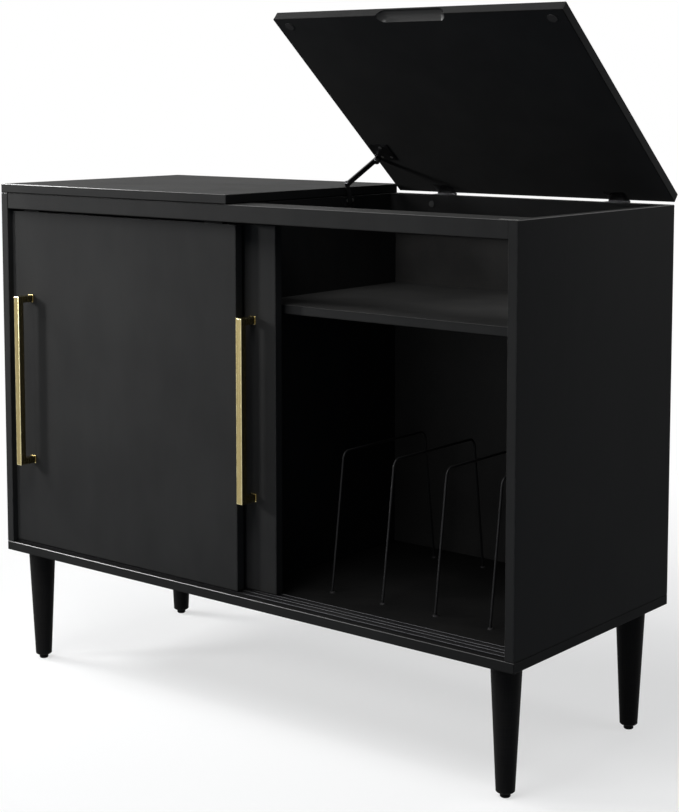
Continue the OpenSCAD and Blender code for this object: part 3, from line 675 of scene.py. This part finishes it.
@dataclass(frozen=True)
class Moulding(Finish):
    """Moulded or drawn plastic, with flow streaks along one axis."""

    name: str = "black_plastic"
    deep: Rgb = (0.011, 0.011, 0.011)
    light: Rgb = (0.018, 0.018, 0.018)
    dust: Rgb = (0.2, 0.19, 0.18)
    rough: Span = (0.41, 0.53)
    grain: Grain = Grain(1500.0, 3.0, 0.6)
    cloud: Grain = Grain(30.0, 3.0, 0.6)
    mottle: Span = (0.32, 0.7)
    dust_share: float = 0.06
    stretch: Point = (1.0, 1.0, 1.0)
    relief: Span = (0.00004, 0.6)
    gloss: float = 0.4
    # Where the rib tops are lightened: partly rubbed by the doors, partly painted highlight.
    polished_and_highlit: Span | None = None
    polish_and_highlight: Rgb = (0.16, 0.16, 0.165)
    polish_smooth: float = -0.14
    polish_coat: Span = (0.6, 0.25)
    rib_top: Span = (0.0004, 0.0001)
    run_in: float = 0.02
    run_share: Span = (0.1, 1.0)
    grain_mask: Span = (0.25, 0.6)
    grain_share: Span = (0.55, 1.0)

    def material(self) -> Material:
        """Draws the streaks, and from one place along X and one height on Z lightens the rib tops, partly
        rubbed and partly painted highlight.

        Returns:
            The plastic's material.
        """
        material, sheet, shader, place = self.start(self.name)
        drawn = sheet.vector("MULTIPLY", place, self.stretch)
        grain = sheet.noise(drawn, self.grain)
        cloud = sheet.noise(drawn, self.cloud)
        colour = sheet.tint(sheet.spread(cloud, *self.mottle), self.deep, self.light)
        dust = sheet.group(self.effects.dust, Place=place)[0]
        colour = sheet.tint(sheet.times(dust, self.dust_share), colour, self.dust)
        matt = sheet.spread(cloud, *self.rough_mask, *self.rough)
        # The rib tops are lightened partly as rubbing and partly as painted highlight.
        if self.polished_and_highlit:
            start, level = self.polished_and_highlit
            x, _, z = sheet.parts(place)
            low, high = (level - drop for drop in self.rib_top)
            along = sheet.spread(x, start, start + self.run_in, *self.run_share)
            rubbed = sheet.times(sheet.spread(z, low, high), along)
            rubbed = sheet.times(rubbed, sheet.spread(grain, *self.grain_mask, *self.grain_share))
            colour = sheet.tint(rubbed, colour, self.polish_and_highlight)
            matt = sheet.math("MULTIPLY_ADD", rubbed, self.polish_smooth, matt)
            weight, coat_rough = self.polish_coat
            sheet.feed(shader, Coat_Weight=sheet.times(rubbed, weight), Coat_Roughness=coat_rough)
        sheet.feed(shader, Base_Color=colour, Roughness=matt,
                   Normal=sheet.bump(grain, *self.relief), Specular_IOR_Level=self.gloss)
        return material


@dataclass(frozen=True)
class PowderCoat(Finish):
    """Black powder coat on steel wire, with its orange peel."""

    deep: Rgb = (0.011, 0.011, 0.0115)
    chip: Rgb = (0.09, 0.09, 0.09)
    peel: Grain = Grain(1100.0, 1.5, 0.45)
    chips: Grain = Grain(520.0, 5.0, 0.75)
    chip_mask: Span = (0.74, 0.8)
    rough: Span = (0.36, 0.5)
    relief: Span = (0.00012, 0.7)
    gloss: float = 0.12

    def material(self) -> Material:
        """Adds the orange peel and a few chips.

        Returns:
            The wire's material.
        """
        material, sheet, shader, place = self.start("powder_coat")
        peel = sheet.noise(place, self.peel)
        chips = sheet.spread(sheet.noise(place, self.chips), *self.chip_mask)
        self.surface(sheet, shader, sheet.tint(chips, self.deep, self.chip), peel, peel)
        return material


@dataclass(frozen=True)
class Steel(Finish):
    """Plated steel sheet and screws, with rolling lines and small stains."""

    name: str = "zinc_steel"
    bright: Rgb = (0.62, 0.62, 0.60)
    dull: Rgb = (0.42, 0.42, 0.41)
    rough: Span = (0.25, 0.42)
    stretch: Point = (60.0, 1400.0, 1400.0)
    stains: Grain = Grain(130.0, 4.0, 0.65)
    stain_share: float = 0.6
    mottle: Span = (0.35, 0.65)
    relief: Span = (0.00002, 0.5)
    metallic: float = 1.0

    def material(self) -> Material:
        """Mixes rolling lines with stains.

        Returns:
            The steel's material.
        """
        material, sheet, shader, place = self.start(self.name)
        lines = sheet.group(self.effects.brushed, Place=place, Stretch=self.stretch)[0]
        mixed = sheet.blend(sheet.noise(place, self.stains), self.stain_share, lines)
        colour = sheet.tint(sheet.spread(mixed, *self.mottle), self.dull, self.bright)
        self.surface(sheet, shader, colour, mixed, lines)
        return material


@dataclass(frozen=True)
class BrushedBrass(Finish):
    """Brass-coloured brushed metal of a bar handle, lighter along its outer edges: partly a buffed finish and
    partly painted highlight.
    """

    bright: Rgb = (0.385, 0.318, 0.150)
    warm: Rgb = (0.280, 0.226, 0.102)
    # The lighter edge colour: partly a buffed finish and partly painted highlight.
    polish_and_highlight: Rgb = (0.56, 0.50, 0.29)
    edge_width: float = 0.0017
    edge_mask: Span = (0.0, 0.5)
    no_shade_line: float = 1.0
    streak_share: float = 0.6
    mottle: Span = (0.3, 0.7)
    rough: Span = (0.15, 0.29)
    rough_mask: Span = (0.25, 0.75)
    relief: Span = (0.000015, 0.6)
    metallic: float = 1.0
    stretch: Point = (2600.0, 2600.0, 26.0)

    def material(self, name: str, low: Vector, high: Vector) -> Material:
        """The material of one handle.

        Args:
            name: The handle's name.
            low: The handle's lowest corner.
            high: The handle's highest corner.

        Returns:
            The material, whose lighter edges, partly painted highlight, follow the handle's own box.
        """
        material, sheet, shader, place = self.start(f"brushed_brass_{name}")
        edges = sheet.group(self.effects.edges, Place=place, Middle=(low + high) / 2,
                            Half=(high - low) / 2, Width=self.edge_width, Seam=self.no_shade_line)
        lines, streak = sheet.group(self.effects.brushed, Place=place, Stretch=self.stretch)
        share = sheet.spread(sheet.blend(streak, self.streak_share, lines), *self.mottle)
        # Lighter edges: partly a buffed finish and partly painted highlight.
        rubbed = sheet.spread(edges["Edge"], *self.edge_mask)
        colour = sheet.tint(share, self.warm, self.bright)
        self.surface(sheet, shader, sheet.tint(rubbed, colour, self.polish_and_highlight), lines, lines)
        return material


@dataclass(frozen=True)
class Beech(Finish):
    """Bare beech of the dowels, with short dark flecks."""

    pale: Rgb = (0.60, 0.40, 0.22)
    fleck: Rgb = (0.34, 0.19, 0.09)
    flecks: Grain = Grain(1300.0, 2.0, 0.6, (1.0, 1.0, 0.12))
    fleck_mask: Span = (0.56, 0.7)
    rough: Span = (0.5, 0.65)
    relief: Span = (0.00008, 0.5)

    def material(self) -> Material:
        """Strews flecks along the grain.

        Returns:
            The dowels' material.
        """
        material, sheet, shader, place = self.start("beech")
        flecks = sheet.noise(place, self.flecks)
        colour = sheet.tint(sheet.spread(flecks, *self.fleck_mask), self.pale, self.fleck)
        self.surface(sheet, shader, colour, flecks, flecks)
        return material


class Finishes:
    """Every finish of the stand, and the pieces that the scene adds with them."""

    # Where the bottom track's rib tops start to be lightened, partly rubbed and partly painted highlight.
    rubbed_and_highlit_from: Point = (565.0, 0.0, 19.0)

    def __init__(self, places: Places) -> None:
        """Builds the shared effects and the materials that many pieces share.

        Args:
            places: Places in the shared frame.
        """
        Finish.effects = Effects()
        self.places = places
        self.foil = BlackFoil()
        drawn = {"grain": Grain(1800.0, 3.0, 0.6), "stretch": (0.015, 1.0, 1.0)}
        # The start of the lightened rib tops, partly painted highlight.
        rubbed = tuple(places.at(*self.rubbed_and_highlit_from).xz)
        finishes = {
            Look.BACK: BackBoard(),
            Look.TRACK: Moulding("drawn_track_plastic", (0.020, 0.020, 0.021), (0.030, 0.030, 0.031),
                                 rough=(0.33, 0.45), gloss=0.5, **drawn),
            # The bottom track is a darker copy of the track plastic: painted shade in its grooves, with
            # painted highlight on its rib tops.
            Look.WORN_TRACK: Moulding("worn_shaded_track_plastic", (0.005, 0.005, 0.0054), (0.008, 0.008, 0.0085),
                                      rough=(0.45, 0.57), gloss=0.06, polished_and_highlit=rubbed, **drawn),
            # The guides and glides are darker than the other black plastic: painted shade; their matt finish
            # is the plastic's own.
            Look.GUIDE: Moulding("matt_shaded_guide_plastic", (0.004, 0.004, 0.004), (0.007, 0.007, 0.007),
                                 rough=(0.65, 0.77), gloss=0.05),
            Look.WIRE: PowderCoat(),
            Look.LEG: TurnedPaint(foot=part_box("front_left_leg")[0].z),
            Look.PLASTIC: Moulding(),
            Look.RUBBER: Moulding("rubber", (0.010, 0.010, 0.0105), (0.017, 0.016, 0.017),
                                  rough=(0.65, 0.77), gloss=0.25),
            Look.ZINC: Steel(),
            Look.DARK: Steel("dark_steel", (0.050, 0.050, 0.053), (0.022, 0.022, 0.024), (0.29, 0.46)),
            Look.BEECH: Beech(),
        }
        self.shared = {look: finish.material() for look, finish in finishes.items()}

    def dress(self, node: str, look: Look) -> None:
        """Gives a CAD node its finish, which on a board follows the board's own box."""
        own = look is Look.BOARD
        self.put_on(node, self.foil.material(node, *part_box(node)) if own else self.shared[look])

    @staticmethod
    def put_on(node: str, material: Material) -> None:
        """Gives a CAD node a material and reports it."""
        Finish.wear(frame["nodes"][node], material)
        LOG.info("%s wears %s", node, material.name)

    def add(self, name: str, mesh: Mesh, body: Body, look: Look, stands_for: Names = (),
            material: Material | None = None) -> None:
        """Adds a piece of the scene and lets it ride on its body.

        Args:
            name: The piece's name.
            mesh: Its mesh, in the shared frame.
            body: The CAD body that it moves with.
            look: The record's slot that it takes its finish from.
            stands_for: The CAD nodes that it is shown in place of.
            material: Its material, where that isn't the shared one.
        """
        bmesh.ops.recalc_face_normals(mesh, faces=mesh.faces)
        piece = mesh_object(name, mesh)
        Finish.wear(piece, material or self.shared[look])
        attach(piece, body.value)
        if stands_for:
            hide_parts(*stands_for)
        LOG.info("%s rides on %s", name, body.value)


def linked_object(name: str, data: bpy.types.ID) -> bpy.types.Object:
    """Makes an object and links it to the scene.

    Args:
        name: The object's name.
        data: What it shows, such as a mesh or a lamp.

    Returns:
        The object.
    """
    made = bpy.data.objects.new(name, data)
    bpy.context.scene.collection.objects.link(made)
    return made


def mesh_object(name: str, mesh: Mesh) -> bpy.types.Object:
    """Makes an object of a mesh.

    Args:
        name: The object's name.
        mesh: The mesh, which is freed.

    Returns:
        The object.
    """
    data = bpy.data.meshes.new(name)
    mesh.to_mesh(data)
    mesh.free()
    return linked_object(name, data)


@dataclass(frozen=True)
class Screw:
    """A cross screw along -Z with the face of its head at the origin, in millimetres."""

    head_d: float = 6.0
    head_h: float = 0.8
    shank_d: float = 3.0
    length: float = 12.0
    dome: float = 0.0
    rim: float = 0.08
    sides: int = 28
    dome_rings: tuple[float, ...] = (0.62, 0.78, 0.9, 1.0)
    dome_power: float = 2.6
    arm_share: float = 0.29
    half_share: float = 0.065
    recess_share: float = 0.2
    recess_taper: float = 0.72

    def profile(self) -> list[Span]:
        """The rings from the rim of the head down to the tip.

        Returns:
            The radius and height of each.
        """
        head, shank = self.head_d / 2, self.shank_d / 2
        top = [(head - self.rim, 0.0), (head, -self.rim)]
        if self.dome > 0:
            top = [(self.head_d * s / 2, self.dome * (1 - s ** self.dome_power)) for s in self.dome_rings]
            top.append((head, -self.head_h))
        return top + [(shank, -self.head_h), (shank, -self.length)]

    def cross(self) -> list[Span]:
        """The outline of the cross recess in the head.

        Returns:
            Its twelve corners in order.
        """
        arm = self.head_d * self.arm_share
        half = self.head_d * self.half_share
        corners = [(arm, -half), (arm, half), (half, half), (half, arm), (-half, arm), (-half, half)]
        return corners + [(-x, -y) for x, y in corners]

    def add(self, mesh: Mesh, placement: Matrix, turn: float) -> None:
        """Adds the screw to a mesh.

        Args:
            mesh: The mesh of all the screws of a piece.
            placement: Where the head's face is, with the screw along its -Z.
            turn: Angle of the recess.
        """
        def ring_of(points: list[Point], spin: Matrix = Matrix()) -> Corners:
            """The corners of the mesh at places on the screw, which may be turned."""
            return [mesh.verts.new(placement @ spin @ (Vector(point) / PER_METRE)) for point in points]

        def close(first: Corners, second: Corners, smooth: bool) -> None:
            """Adds the faces between two rings.

            Args:
                first: The corners of one ring.
                second: The corners of the other.
                smooth: Whether the faces are shaded smooth.
            """
            for k in range(len(first)):
                n = (k + 1) % len(first)
                mesh.faces.new((first[k], first[n], second[n], second[k])).smooth = smooth

        around = [2 * math.pi * k / self.sides for k in range(self.sides)]
        rings = [ring_of([(radius * math.cos(angle), radius * math.sin(angle), height) for angle in around])
                 for radius, height in self.profile()]
        for upper, lower in zip(rings, rings[1:]):
            close(upper, lower, True)
        mesh.faces.new(rings[-1])
        top = self.profile()[0][1]
        spin = Matrix.Rotation(turn, 4, "Z")
        loops = [ring_of([(x * share, y * share, z) for x, y in self.cross()], spin)
                 for share, z in ((1.0, top), (self.recess_taper, top - self.head_d * self.recess_share))]
        close(*loops, False)
        mesh.faces.new(loops[1])
        borders = []
        for loop in (rings[0], loops[0]):
            for corner, following in zip(loop, loop[1:] + loop[:1]):
                borders.append(mesh.edges.get((corner, following)) or mesh.edges.new((corner, following)))
        bmesh.ops.triangle_fill(mesh, use_beauty=True, edges=borders)


@dataclass(frozen=True)
class BarHandle:
    """A square bar on two posts that end in thin feet, with broken edges, in millimetres."""

    width: float = 12.0
    depth: float = 12.0
    post: float = 12.0
    reach: float = 35.0
    low: float = 168.0
    high: float = 470.0
    foot: float = 2.0
    rim: float = 0.75
    soft_edge: float = 1.1
    crisp_edge: float = 0.25
    foot_zone: float = 0.5
    sharp: float = 1.0
    edge_steps: int = 3

    def box(self, places: Places, x: float, face: float) -> tuple[Vector, Vector]:
        """The lowest and highest corners of the handle at a place on a door."""
        return (places.at(x - self.width / 2, face - self.reach, self.low),
                places.at(x + self.width / 2, face, self.high))

    def add(self, mesh: Mesh, places: Places, x: float, face: float) -> None:
        """Adds the handle to a mesh.

        Args:
            mesh: The mesh of the piece.
            places: Places in the shared frame.
            x: Where the middle of the bar stands along the width.
            face: Where the face of the door is, from front to back.
        """
        def pair(y: float, z: float, grow: float = 0.0) -> Corners:
            """The left and right corners at a place."""
            half = self.width / 2 + grow
            return [mesh.verts.new(places.at(x + side * half, y, z)) for side in (-1, 1)]

        levels = (self.low, self.low + self.post, self.high - self.post, self.high)
        front = [pair(face - self.reach, z) for z in levels]
        back = [pair(face - self.reach + self.depth, z) for z in levels]
        for k in range(3):
            mesh.faces.new((*front[k], *reversed(front[k + 1])))
            for side in (0, 1):
                mesh.faces.new((front[k][side], back[k][side], back[k + 1][side], front[k + 1][side]))
        mesh.faces.new((*back[1], *reversed(back[2])))
        for k in (0, 3):
            mesh.faces.new((*front[k], *reversed(back[k])))
        for k in (0, 2):
            ring = [*back[k], *reversed(back[k + 1])]
            for y, grow in ((face - self.foot, 0.0), (face - self.foot, self.rim), (face, self.rim)):
                following = [*pair(y, levels[k] - grow, grow), *reversed(pair(y, levels[k + 1] + grow, grow))]
                for n in range(4):
                    m = (n + 1) % 4
                    mesh.faces.new((ring[n], ring[m], following[m], following[n]))
                ring = following
            mesh.faces.new(ring)
        bmesh.ops.recalc_face_normals(mesh, faces=mesh.faces)
        at_foot = places.at(x, face - self.foot - self.foot_zone, 0.0).y
        for crisp, width in ((True, self.crisp_edge), (False, self.soft_edge)):
            edges = [
                edge for edge in mesh.edges
                if edge.is_convex and edge.calc_face_angle() > self.sharp
                and all(vert.co.y > at_foot for vert in edge.verts) is crisp
            ]
            bmesh.ops.bevel(mesh, geom=edges, offset=width / PER_METRE, offset_type="OFFSET",
                            segments=self.edge_steps, profile=0.5, affect="EDGES", clamp_overlap=True)


class Assembly:
    """A sub-assembly, whose CAD nodes wear finishes and which may add pieces."""

    wears: dict[Look, Names] = {}

    def dress(self, finishes: Finishes) -> None:
        """Dresses every node that the sub-assembly names.

        Args:
            finishes: The finishes.
        """
        for look, nodes in self.wears.items():
            for node in nodes:
                finishes.dress(node, look)

    def build(self, finishes: Finishes) -> None:
        """Makes the pieces that only the scene has, if there are any."""


@dataclass
class Carcase(Assembly):
    """The boards, the backs and the rails, with the small screws of the backs."""

    width: float = 1100.0
    depth: float = 450.0
    height: float = 650.0
    board: float = 16.0
    back_lap: float = 8.0
    divider_x: float = 538.0
    screw_pitch: float = 145.0
    screw_inset: float = 4.0
    end_gap: float = 20.0
    upper_row: float = 14.0
    flush_end: float = 0.01
    turn_seed: int = 4
    back_screw: Screw = Screw(head_d=6.4, head_h=0.4, dome=1.5, length=14.0)
    # The fixed top's foil paints a taller shade line along the bottom of its sides.
    laid_on: BlackFoil = BlackFoil(shade_line_height=0.0022)
    # A darker copy of the foil for the bottom panel, painted shade; its upward faces are darkened further as
    # painted shade.
    shaded: BlackFoil = BlackFoil(deep=(0.0155, 0.0155, 0.0153), worn=(0.0205, 0.0205, 0.0200),
                                  dust_share=0.02, upper_unshaded_share=0.35)
    # A darker, less glossy copy of the foil for the back rail; the darker colour is painted shade.
    dull: BlackFoil = BlackFoil(deep=(0.0105, 0.0105, 0.0106), worn=(0.0140, 0.0140, 0.0140), gloss=0.015)
    wears = {
        Look.BOARD: ("left_side_panel", "right_side_panel", "front_rail", "centre_divider", "turntable_shelf",
                     "left_shelf"),
        Look.BACK: ("left_back_panel", "right_back_panel"),
        Look.BEECH: ("carcase_dowels",),
        Look.ZINC: ("shelf_pins", "shelf_cams", "shelf_cam_bolts", "corner_brace"),
        Look.PLASTIC: ("rail_screw_caps",),
    }

    def dress(self, finishes: Finishes) -> None:
        """Dresses the boards, the backs and the hidden fittings.

        Args:
            finishes: The finishes.
        """
        super().dress(finishes)
        # The fixed top, the back rail and the bottom panel wear their own foils, two of them darker as
        # painted shade.
        for node, foil, flush in (("fixed_top", self.laid_on, 0.0), ("back_rail", self.dull, 0.0),
                                  ("bottom_panel", self.shaded, self.flush_end)):
            low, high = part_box(node)
            past = Vector((flush, 0.0, 0.0))
            finishes.put_on(node, foil.material(node, low - past, high + past))

    def back_spots(self) -> list[Span]:
        """Where the screws of the back panels stand.

        Returns:
            The X and Z of each, in millimetres.
        """
        left, right = self.back_lap + self.screw_inset, self.width - self.back_lap - self.screw_inset
        rise = self.height - 2 * self.end_gap
        rows = round(rise / self.screw_pitch)
        columns = (left, right, self.divider_x - self.screw_inset, self.divider_x + self.screw_inset)
        spots = [(x, self.end_gap + rise * k / rows) for x in columns for k in range(rows + 1)]
        for low, high in ((left, self.divider_x), (self.divider_x, right)):
            count = round((high - low) / self.screw_pitch)
            for k in range(1, count):
                x = low + (high - low) * k / count
                spots += [(x, self.board - self.screw_inset), (x, self.height - self.upper_row)]
        return spots

    def build(self, finishes: Finishes) -> None:
        """Makes the screws that hold the back panels.

        Args:
            finishes: The finishes, with the places.
        """
        places = finishes.places
        mesh = bmesh.new()
        turns = random.Random(self.turn_seed)
        for x, z in self.back_spots():
            face = places.on_cabinet(x, self.depth, z) @ FACING_BACK
            self.back_screw.add(mesh, face, turns.uniform(0, math.pi))
        finishes.add("back_panel_screws", mesh, Body.CABINET, Look.ZINC)


class Legs(Assembly):
    """The four turned legs with their inserts, bolts and foot glides."""

    wears = {
        Look.LEG: ("front_left_leg", "front_right_leg", "rear_left_leg", "rear_right_leg"),
        Look.GUIDE: ("front_left_glide", "front_right_glide", "rear_left_glide", "rear_right_glide"),
        Look.ZINC: ("leg_bolts", "leg_inserts"),
    }


class HoopBay(Assembly):
    """The wire hoops of the lower bay, in their grommets."""

    wears = {
        Look.WIRE: tuple(f"record_divider_{k}" for k in range(1, 5)),
        Look.RUBBER: ("divider_grommets",),
    }


@dataclass
class Doors(Assembly):
    """The sliding doors, their tracks and their handles."""

    front_handle_x: float = 64.5
    rear_handle_x: float = 572.5
    front_back_y: float = 26.0
    rear_back_y: float = 50.0
    door_t: float = 16.0
    handle: BarHandle = BarHandle()
    screw_levels: Span = (174.0, 464.0)
    turn_seed: int = 7
    screw: Screw = Screw(head_d=8.0, head_h=0.0, dome=2.4, shank_d=4.0, length=28.0)
    wears = {
        Look.BOARD: ("front_door_panel", "rear_door_panel"),
        Look.GUIDE: ("front_door_guides", "rear_door_guides"),
        Look.WORN_TRACK: ("bottom_track",),
        Look.TRACK: ("top_track",),
    }

    def build(self, finishes: Finishes) -> None:
        """Makes the handles and their screws.

        Args:
            finishes: The finishes, with the places.
        """
        places = finishes.places
        turns = random.Random(self.turn_seed)
        for door, x, y in (("front", self.front_handle_x, self.front_back_y),
                           ("rear", self.rear_handle_x, self.rear_back_y)):
            body = Body(f"{door}_door")
            screws, bar = bmesh.new(), bmesh.new()
            for z in self.screw_levels:
                self.screw.add(screws, places.on_cabinet(x, y, z) @ FACING_BACK, turns.uniform(0, math.pi))
            finishes.add(f"{door}_handle_cross_screws", screws, body, Look.ZINC, (f"{door}_handle_screws",))
            self.handle.add(bar, places, x, y - self.door_t)
            brass = BrushedBrass().material(door, *self.handle.box(places, x, y - self.door_t))
            finishes.add(f"{door}_bar_handle", bar, body, Look.BRASS, (f"{door}_door_handle",), brass)


@dataclass
class Lid(Assembly):
    """The lid with its scoop, its bumpers and its two hinges."""

    hinge_x: Span = (654.0, 998.0)
    screw_offset: float = 9.5
    screw_y: float = 435.9
    frame_face: float = 651.2
    lid_face: float = 651.5
    brace_screws: tuple[Span, ...] = ((1068.0, 8.0), (1091.0, 8.0))
    brace_face: float = 650.0
    low: Point = (552.0, 0.5, 651.5)
    high: Point = (1100.0, 449.5, 667.5)
    scoop: Point = (826.0, 0.5, 649.0)
    turn_seed: int = 11
    most_turn: float = 3.0
    screw: Screw = Screw(head_h=1.2)
    brace_screw: Screw = Screw()
    wears = {
        Look.RUBBER: ("lid_bumpers",),
        Look.DARK: ("left_hinge_frame_leaf", "left_hinge_lid_leaf", "right_hinge_frame_leaf",
                    "right_hinge_lid_leaf", "hinge_pins"),
    }

    def dress(self, finishes: Finishes) -> None:
        """Dresses the lid, the bumpers and the hinges.

        Args:
            finishes: The finishes, with the places.
        """
        super().dress(finishes)
        places = finishes.places
        foil = ScoopedFoil(axis=tuple(places.at(*self.scoop)))
        tilt = Tilt(places.hinge, places.opening)
        closed = foil.material("lid_panel", places.at(*self.low), places.at(*self.high), tilt)
        finishes.put_on("lid_panel", closed)

    def build(self, finishes: Finishes) -> None:
        """Makes the screws of the hinges and of the corner brace.

        Args:
            finishes: The finishes, with the places.
        """
        places = finishes.places
        turns = random.Random(self.turn_seed)
        on_frame, on_lid, on_brace = bmesh.new(), bmesh.new(), bmesh.new()
        flip = Matrix.Rotation(math.pi, 4, "X")
        for hinge in self.hinge_x:
            for x in (hinge - self.screw_offset, hinge + self.screw_offset):
                upward = places.on_cabinet(x, self.screw_y, self.frame_face)
                self.screw.add(on_frame, upward, turns.uniform(0, self.most_turn))
                downward = places.on_lid(x, self.screw_y, self.lid_face) @ flip
                self.screw.add(on_lid, downward, turns.uniform(0, self.most_turn))
        for x, y in self.brace_screws:
            upward = places.on_cabinet(x, y, self.brace_face)
            self.brace_screw.add(on_brace, upward, turns.uniform(0, self.most_turn))
        for what, mesh, body, look in (("hinge_frame", on_frame, Body.CABINET, Look.DARK),
                                       ("hinge_lid", on_lid, Body.LID, Look.DARK),
                                       ("corner_brace", on_brace, Body.CABINET, Look.ZINC)):
            finishes.add(f"{what}_cross_screws", mesh, body, look, (f"{what}_screws",))


class Stay(Assembly):
    """The folding stay that holds the lid open."""

    wears = {
        Look.DARK: ("stay_housing", "stay_crank", "stay_arm", "stay_lid_bracket"),
        Look.ZINC: ("stay_lid_pin", "stay_housing_screws", "stay_bracket_screws"),
    }


@dataclass(frozen=True)
class Lamp:
    """A soft square lamp, its side in metres, its power in watts and its beam in degrees."""

    name: str
    place: Point
    aim: Point
    side: float
    power: float
    beam: float = 180.0

    def hang(self) -> None:
        """Adds the lamp to the scene, turned to what it lights."""
        data = bpy.data.lights.new(self.name, "AREA")
        data.size = self.side
        data.energy = self.power
        data.spread = math.radians(self.beam)
        lamp = linked_object(self.name, data)
        lamp.location = self.place
        lamp.rotation_euler = (Vector(self.aim) - Vector(self.place)).to_track_quat("-Z", "Y").to_euler()


@dataclass
class Studio:
    """The camera, the lamps, the pale floor and the background."""

    eye: Point = (1.8880, -2.25253, 1.0287)
    yaw: float = 0.6838
    pitch: float = 0.0988
    sensor: float = 36.0
    focal_pixels: float = 1746.4
    picture_height: float = 812.0
    shift: float = -0.17
    backdrop: float = 1.0
    white: Rgb = (1.0, 1.0, 1.0)
    daylight: float = 0.08
    daylight_tint: Rgb = (0.66, 0.80, 1.0)
    floor: float = 0.9
    floor_size: float = 9.0
    floor_cells: int = 8
    floor_swing: Span = (-0.01, 0.01)
    floor_grain: Grain = Grain(900.0, 3.0, 0.6)
    floor_rough: float = 0.9
    floor_gloss: float = 0.1
    floor_bounce: Rgb = (0.09, 0.12, 0.17)
    glow_reach: Span = (0.6, 2.0)
    glow_share: Span = (0.62, 1.0)
    lamps: tuple[Lamp, ...] = (
        Lamp("key_lamp", (-1.15, -2.25, 0.55), (-0.7, -0.2, 0.5), 0.45, 1.1, 55.0),
        Lamp("left_lamp", (-1.95, -1.75, 1.25), (-0.5, -0.2, 0.75), 0.35, 3.8, 50.0),
        Lamp("top_lamp", (0.0, -1.6, 3.0), (0.0, 0.0, 0.6), 1.4, 60.0),
        Lamp("rim_lamp", (-2.6, -0.65, 2.4), (0.0, -0.2, 0.6), 0.9, 75.0),
        Lamp("front_card", (0.1, -2.3, 0.2), (0.0, -0.2, 0.45), 0.4, 1.1),
        Lamp("side_lamp", (1.15, 0.4, 1.5), (0.55, 0.1, 0.8), 0.45, 0.85, 80.0),
    )

    def camera(self) -> None:
        """Puts the camera where the photograph was taken from."""
        data = bpy.data.cameras.new("camera")
        data.sensor_width = self.sensor
        data.lens = self.focal_pixels * self.sensor / self.picture_height
        data.shift_y = self.shift
        camera = linked_object("camera", data)
        camera.location = self.eye
        camera.rotation_euler = (math.pi / 2 - self.pitch, 0.0, self.yaw)
        bpy.context.scene.camera = camera

    @staticmethod
    def seen_plainly(sheet: NodeSheet) -> Socket:
        """Whether a ray is one that shows the background: camera, gloss or glass.

        Args:
            sheet: The sheet of the floor's or the world's material.

        Returns:
            1 for such a ray and 0 for any other.
        """
        path = sheet.node("LightPath").outputs
        first = sheet.math("MAXIMUM", path["Is Camera Ray"], path["Is Glossy Ray"])
        return sheet.math("MAXIMUM", first, path["Is Transmission Ray"])

    def sky(self) -> None:
        """Makes the world: plain light, and white where it is seen."""
        world = bpy.data.worlds.new("studio")
        world.use_nodes = True
        sheet = NodeSheet(world.node_tree)
        light = sheet.feed(sheet.node("Background"), Color=self.daylight_tint, Strength=self.daylight)
        white = sheet.feed(sheet.node("Background"), Color=self.white, Strength=self.backdrop)
        sheet.show("OutputWorld", self.seen_plainly(sheet), light, white)
        bpy.context.scene.world = world

    def ground(self) -> None:
        """Makes the floor, which turns into the white background further out."""
        mesh = bmesh.new()
        bmesh.ops.create_grid(mesh, x_segments=self.floor_cells, y_segments=self.floor_cells,
                              size=self.floor_size)
        floor = mesh_object("studio_floor", mesh)
        material = bpy.data.materials.new("studio_floor")
        material.use_nodes = True
        sheet = NodeSheet(material.node_tree)
        place = sheet.node("TexCoord").outputs["Object"]
        darker, lighter = ((self.floor + step,) * 3 for step in self.floor_swing)
        colour = sheet.tint(sheet.noise(place, self.floor_grain), darker, lighter)
        seen = self.seen_plainly(sheet)
        paper = sheet.feed(sheet.node("BsdfPrincipled"), Roughness=self.floor_rough,
                           Specular_IOR_Level=self.floor_gloss,
                           Base_Color=sheet.tint(seen, self.floor_bounce, colour))
        glow = sheet.feed(sheet.node("Emission"), Strength=self.backdrop)
        far = sheet.spread(sheet.length(place), *self.glow_reach, *self.glow_share)
        sheet.show("OutputMaterial", sheet.times(far, seen), paper, glow)
        Finish.wear(floor, material)

    def build(self) -> None:
        """Sets up the whole studio."""
        bpy.context.scene.view_settings.view_transform = "Standard"
        self.camera()
        self.sky()
        self.ground()
        for lamp in self.lamps:
            lamp.hang()


def main() -> None:
    """Builds the studio and dresses every sub-assembly in order."""
    logging.basicConfig(level=logging.INFO, format="%(name)s: %(message)s")
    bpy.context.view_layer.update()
    Studio().build()
    finishes = Finishes(Places())
    assemblies = (Carcase(), Legs(), HoopBay(), Doors(), Lid(), Stay())
    for assembly in assemblies:
        assembly.dress(finishes)
    for assembly in assemblies:
        assembly.build(finishes)


if __name__ == "__main__":
    main()
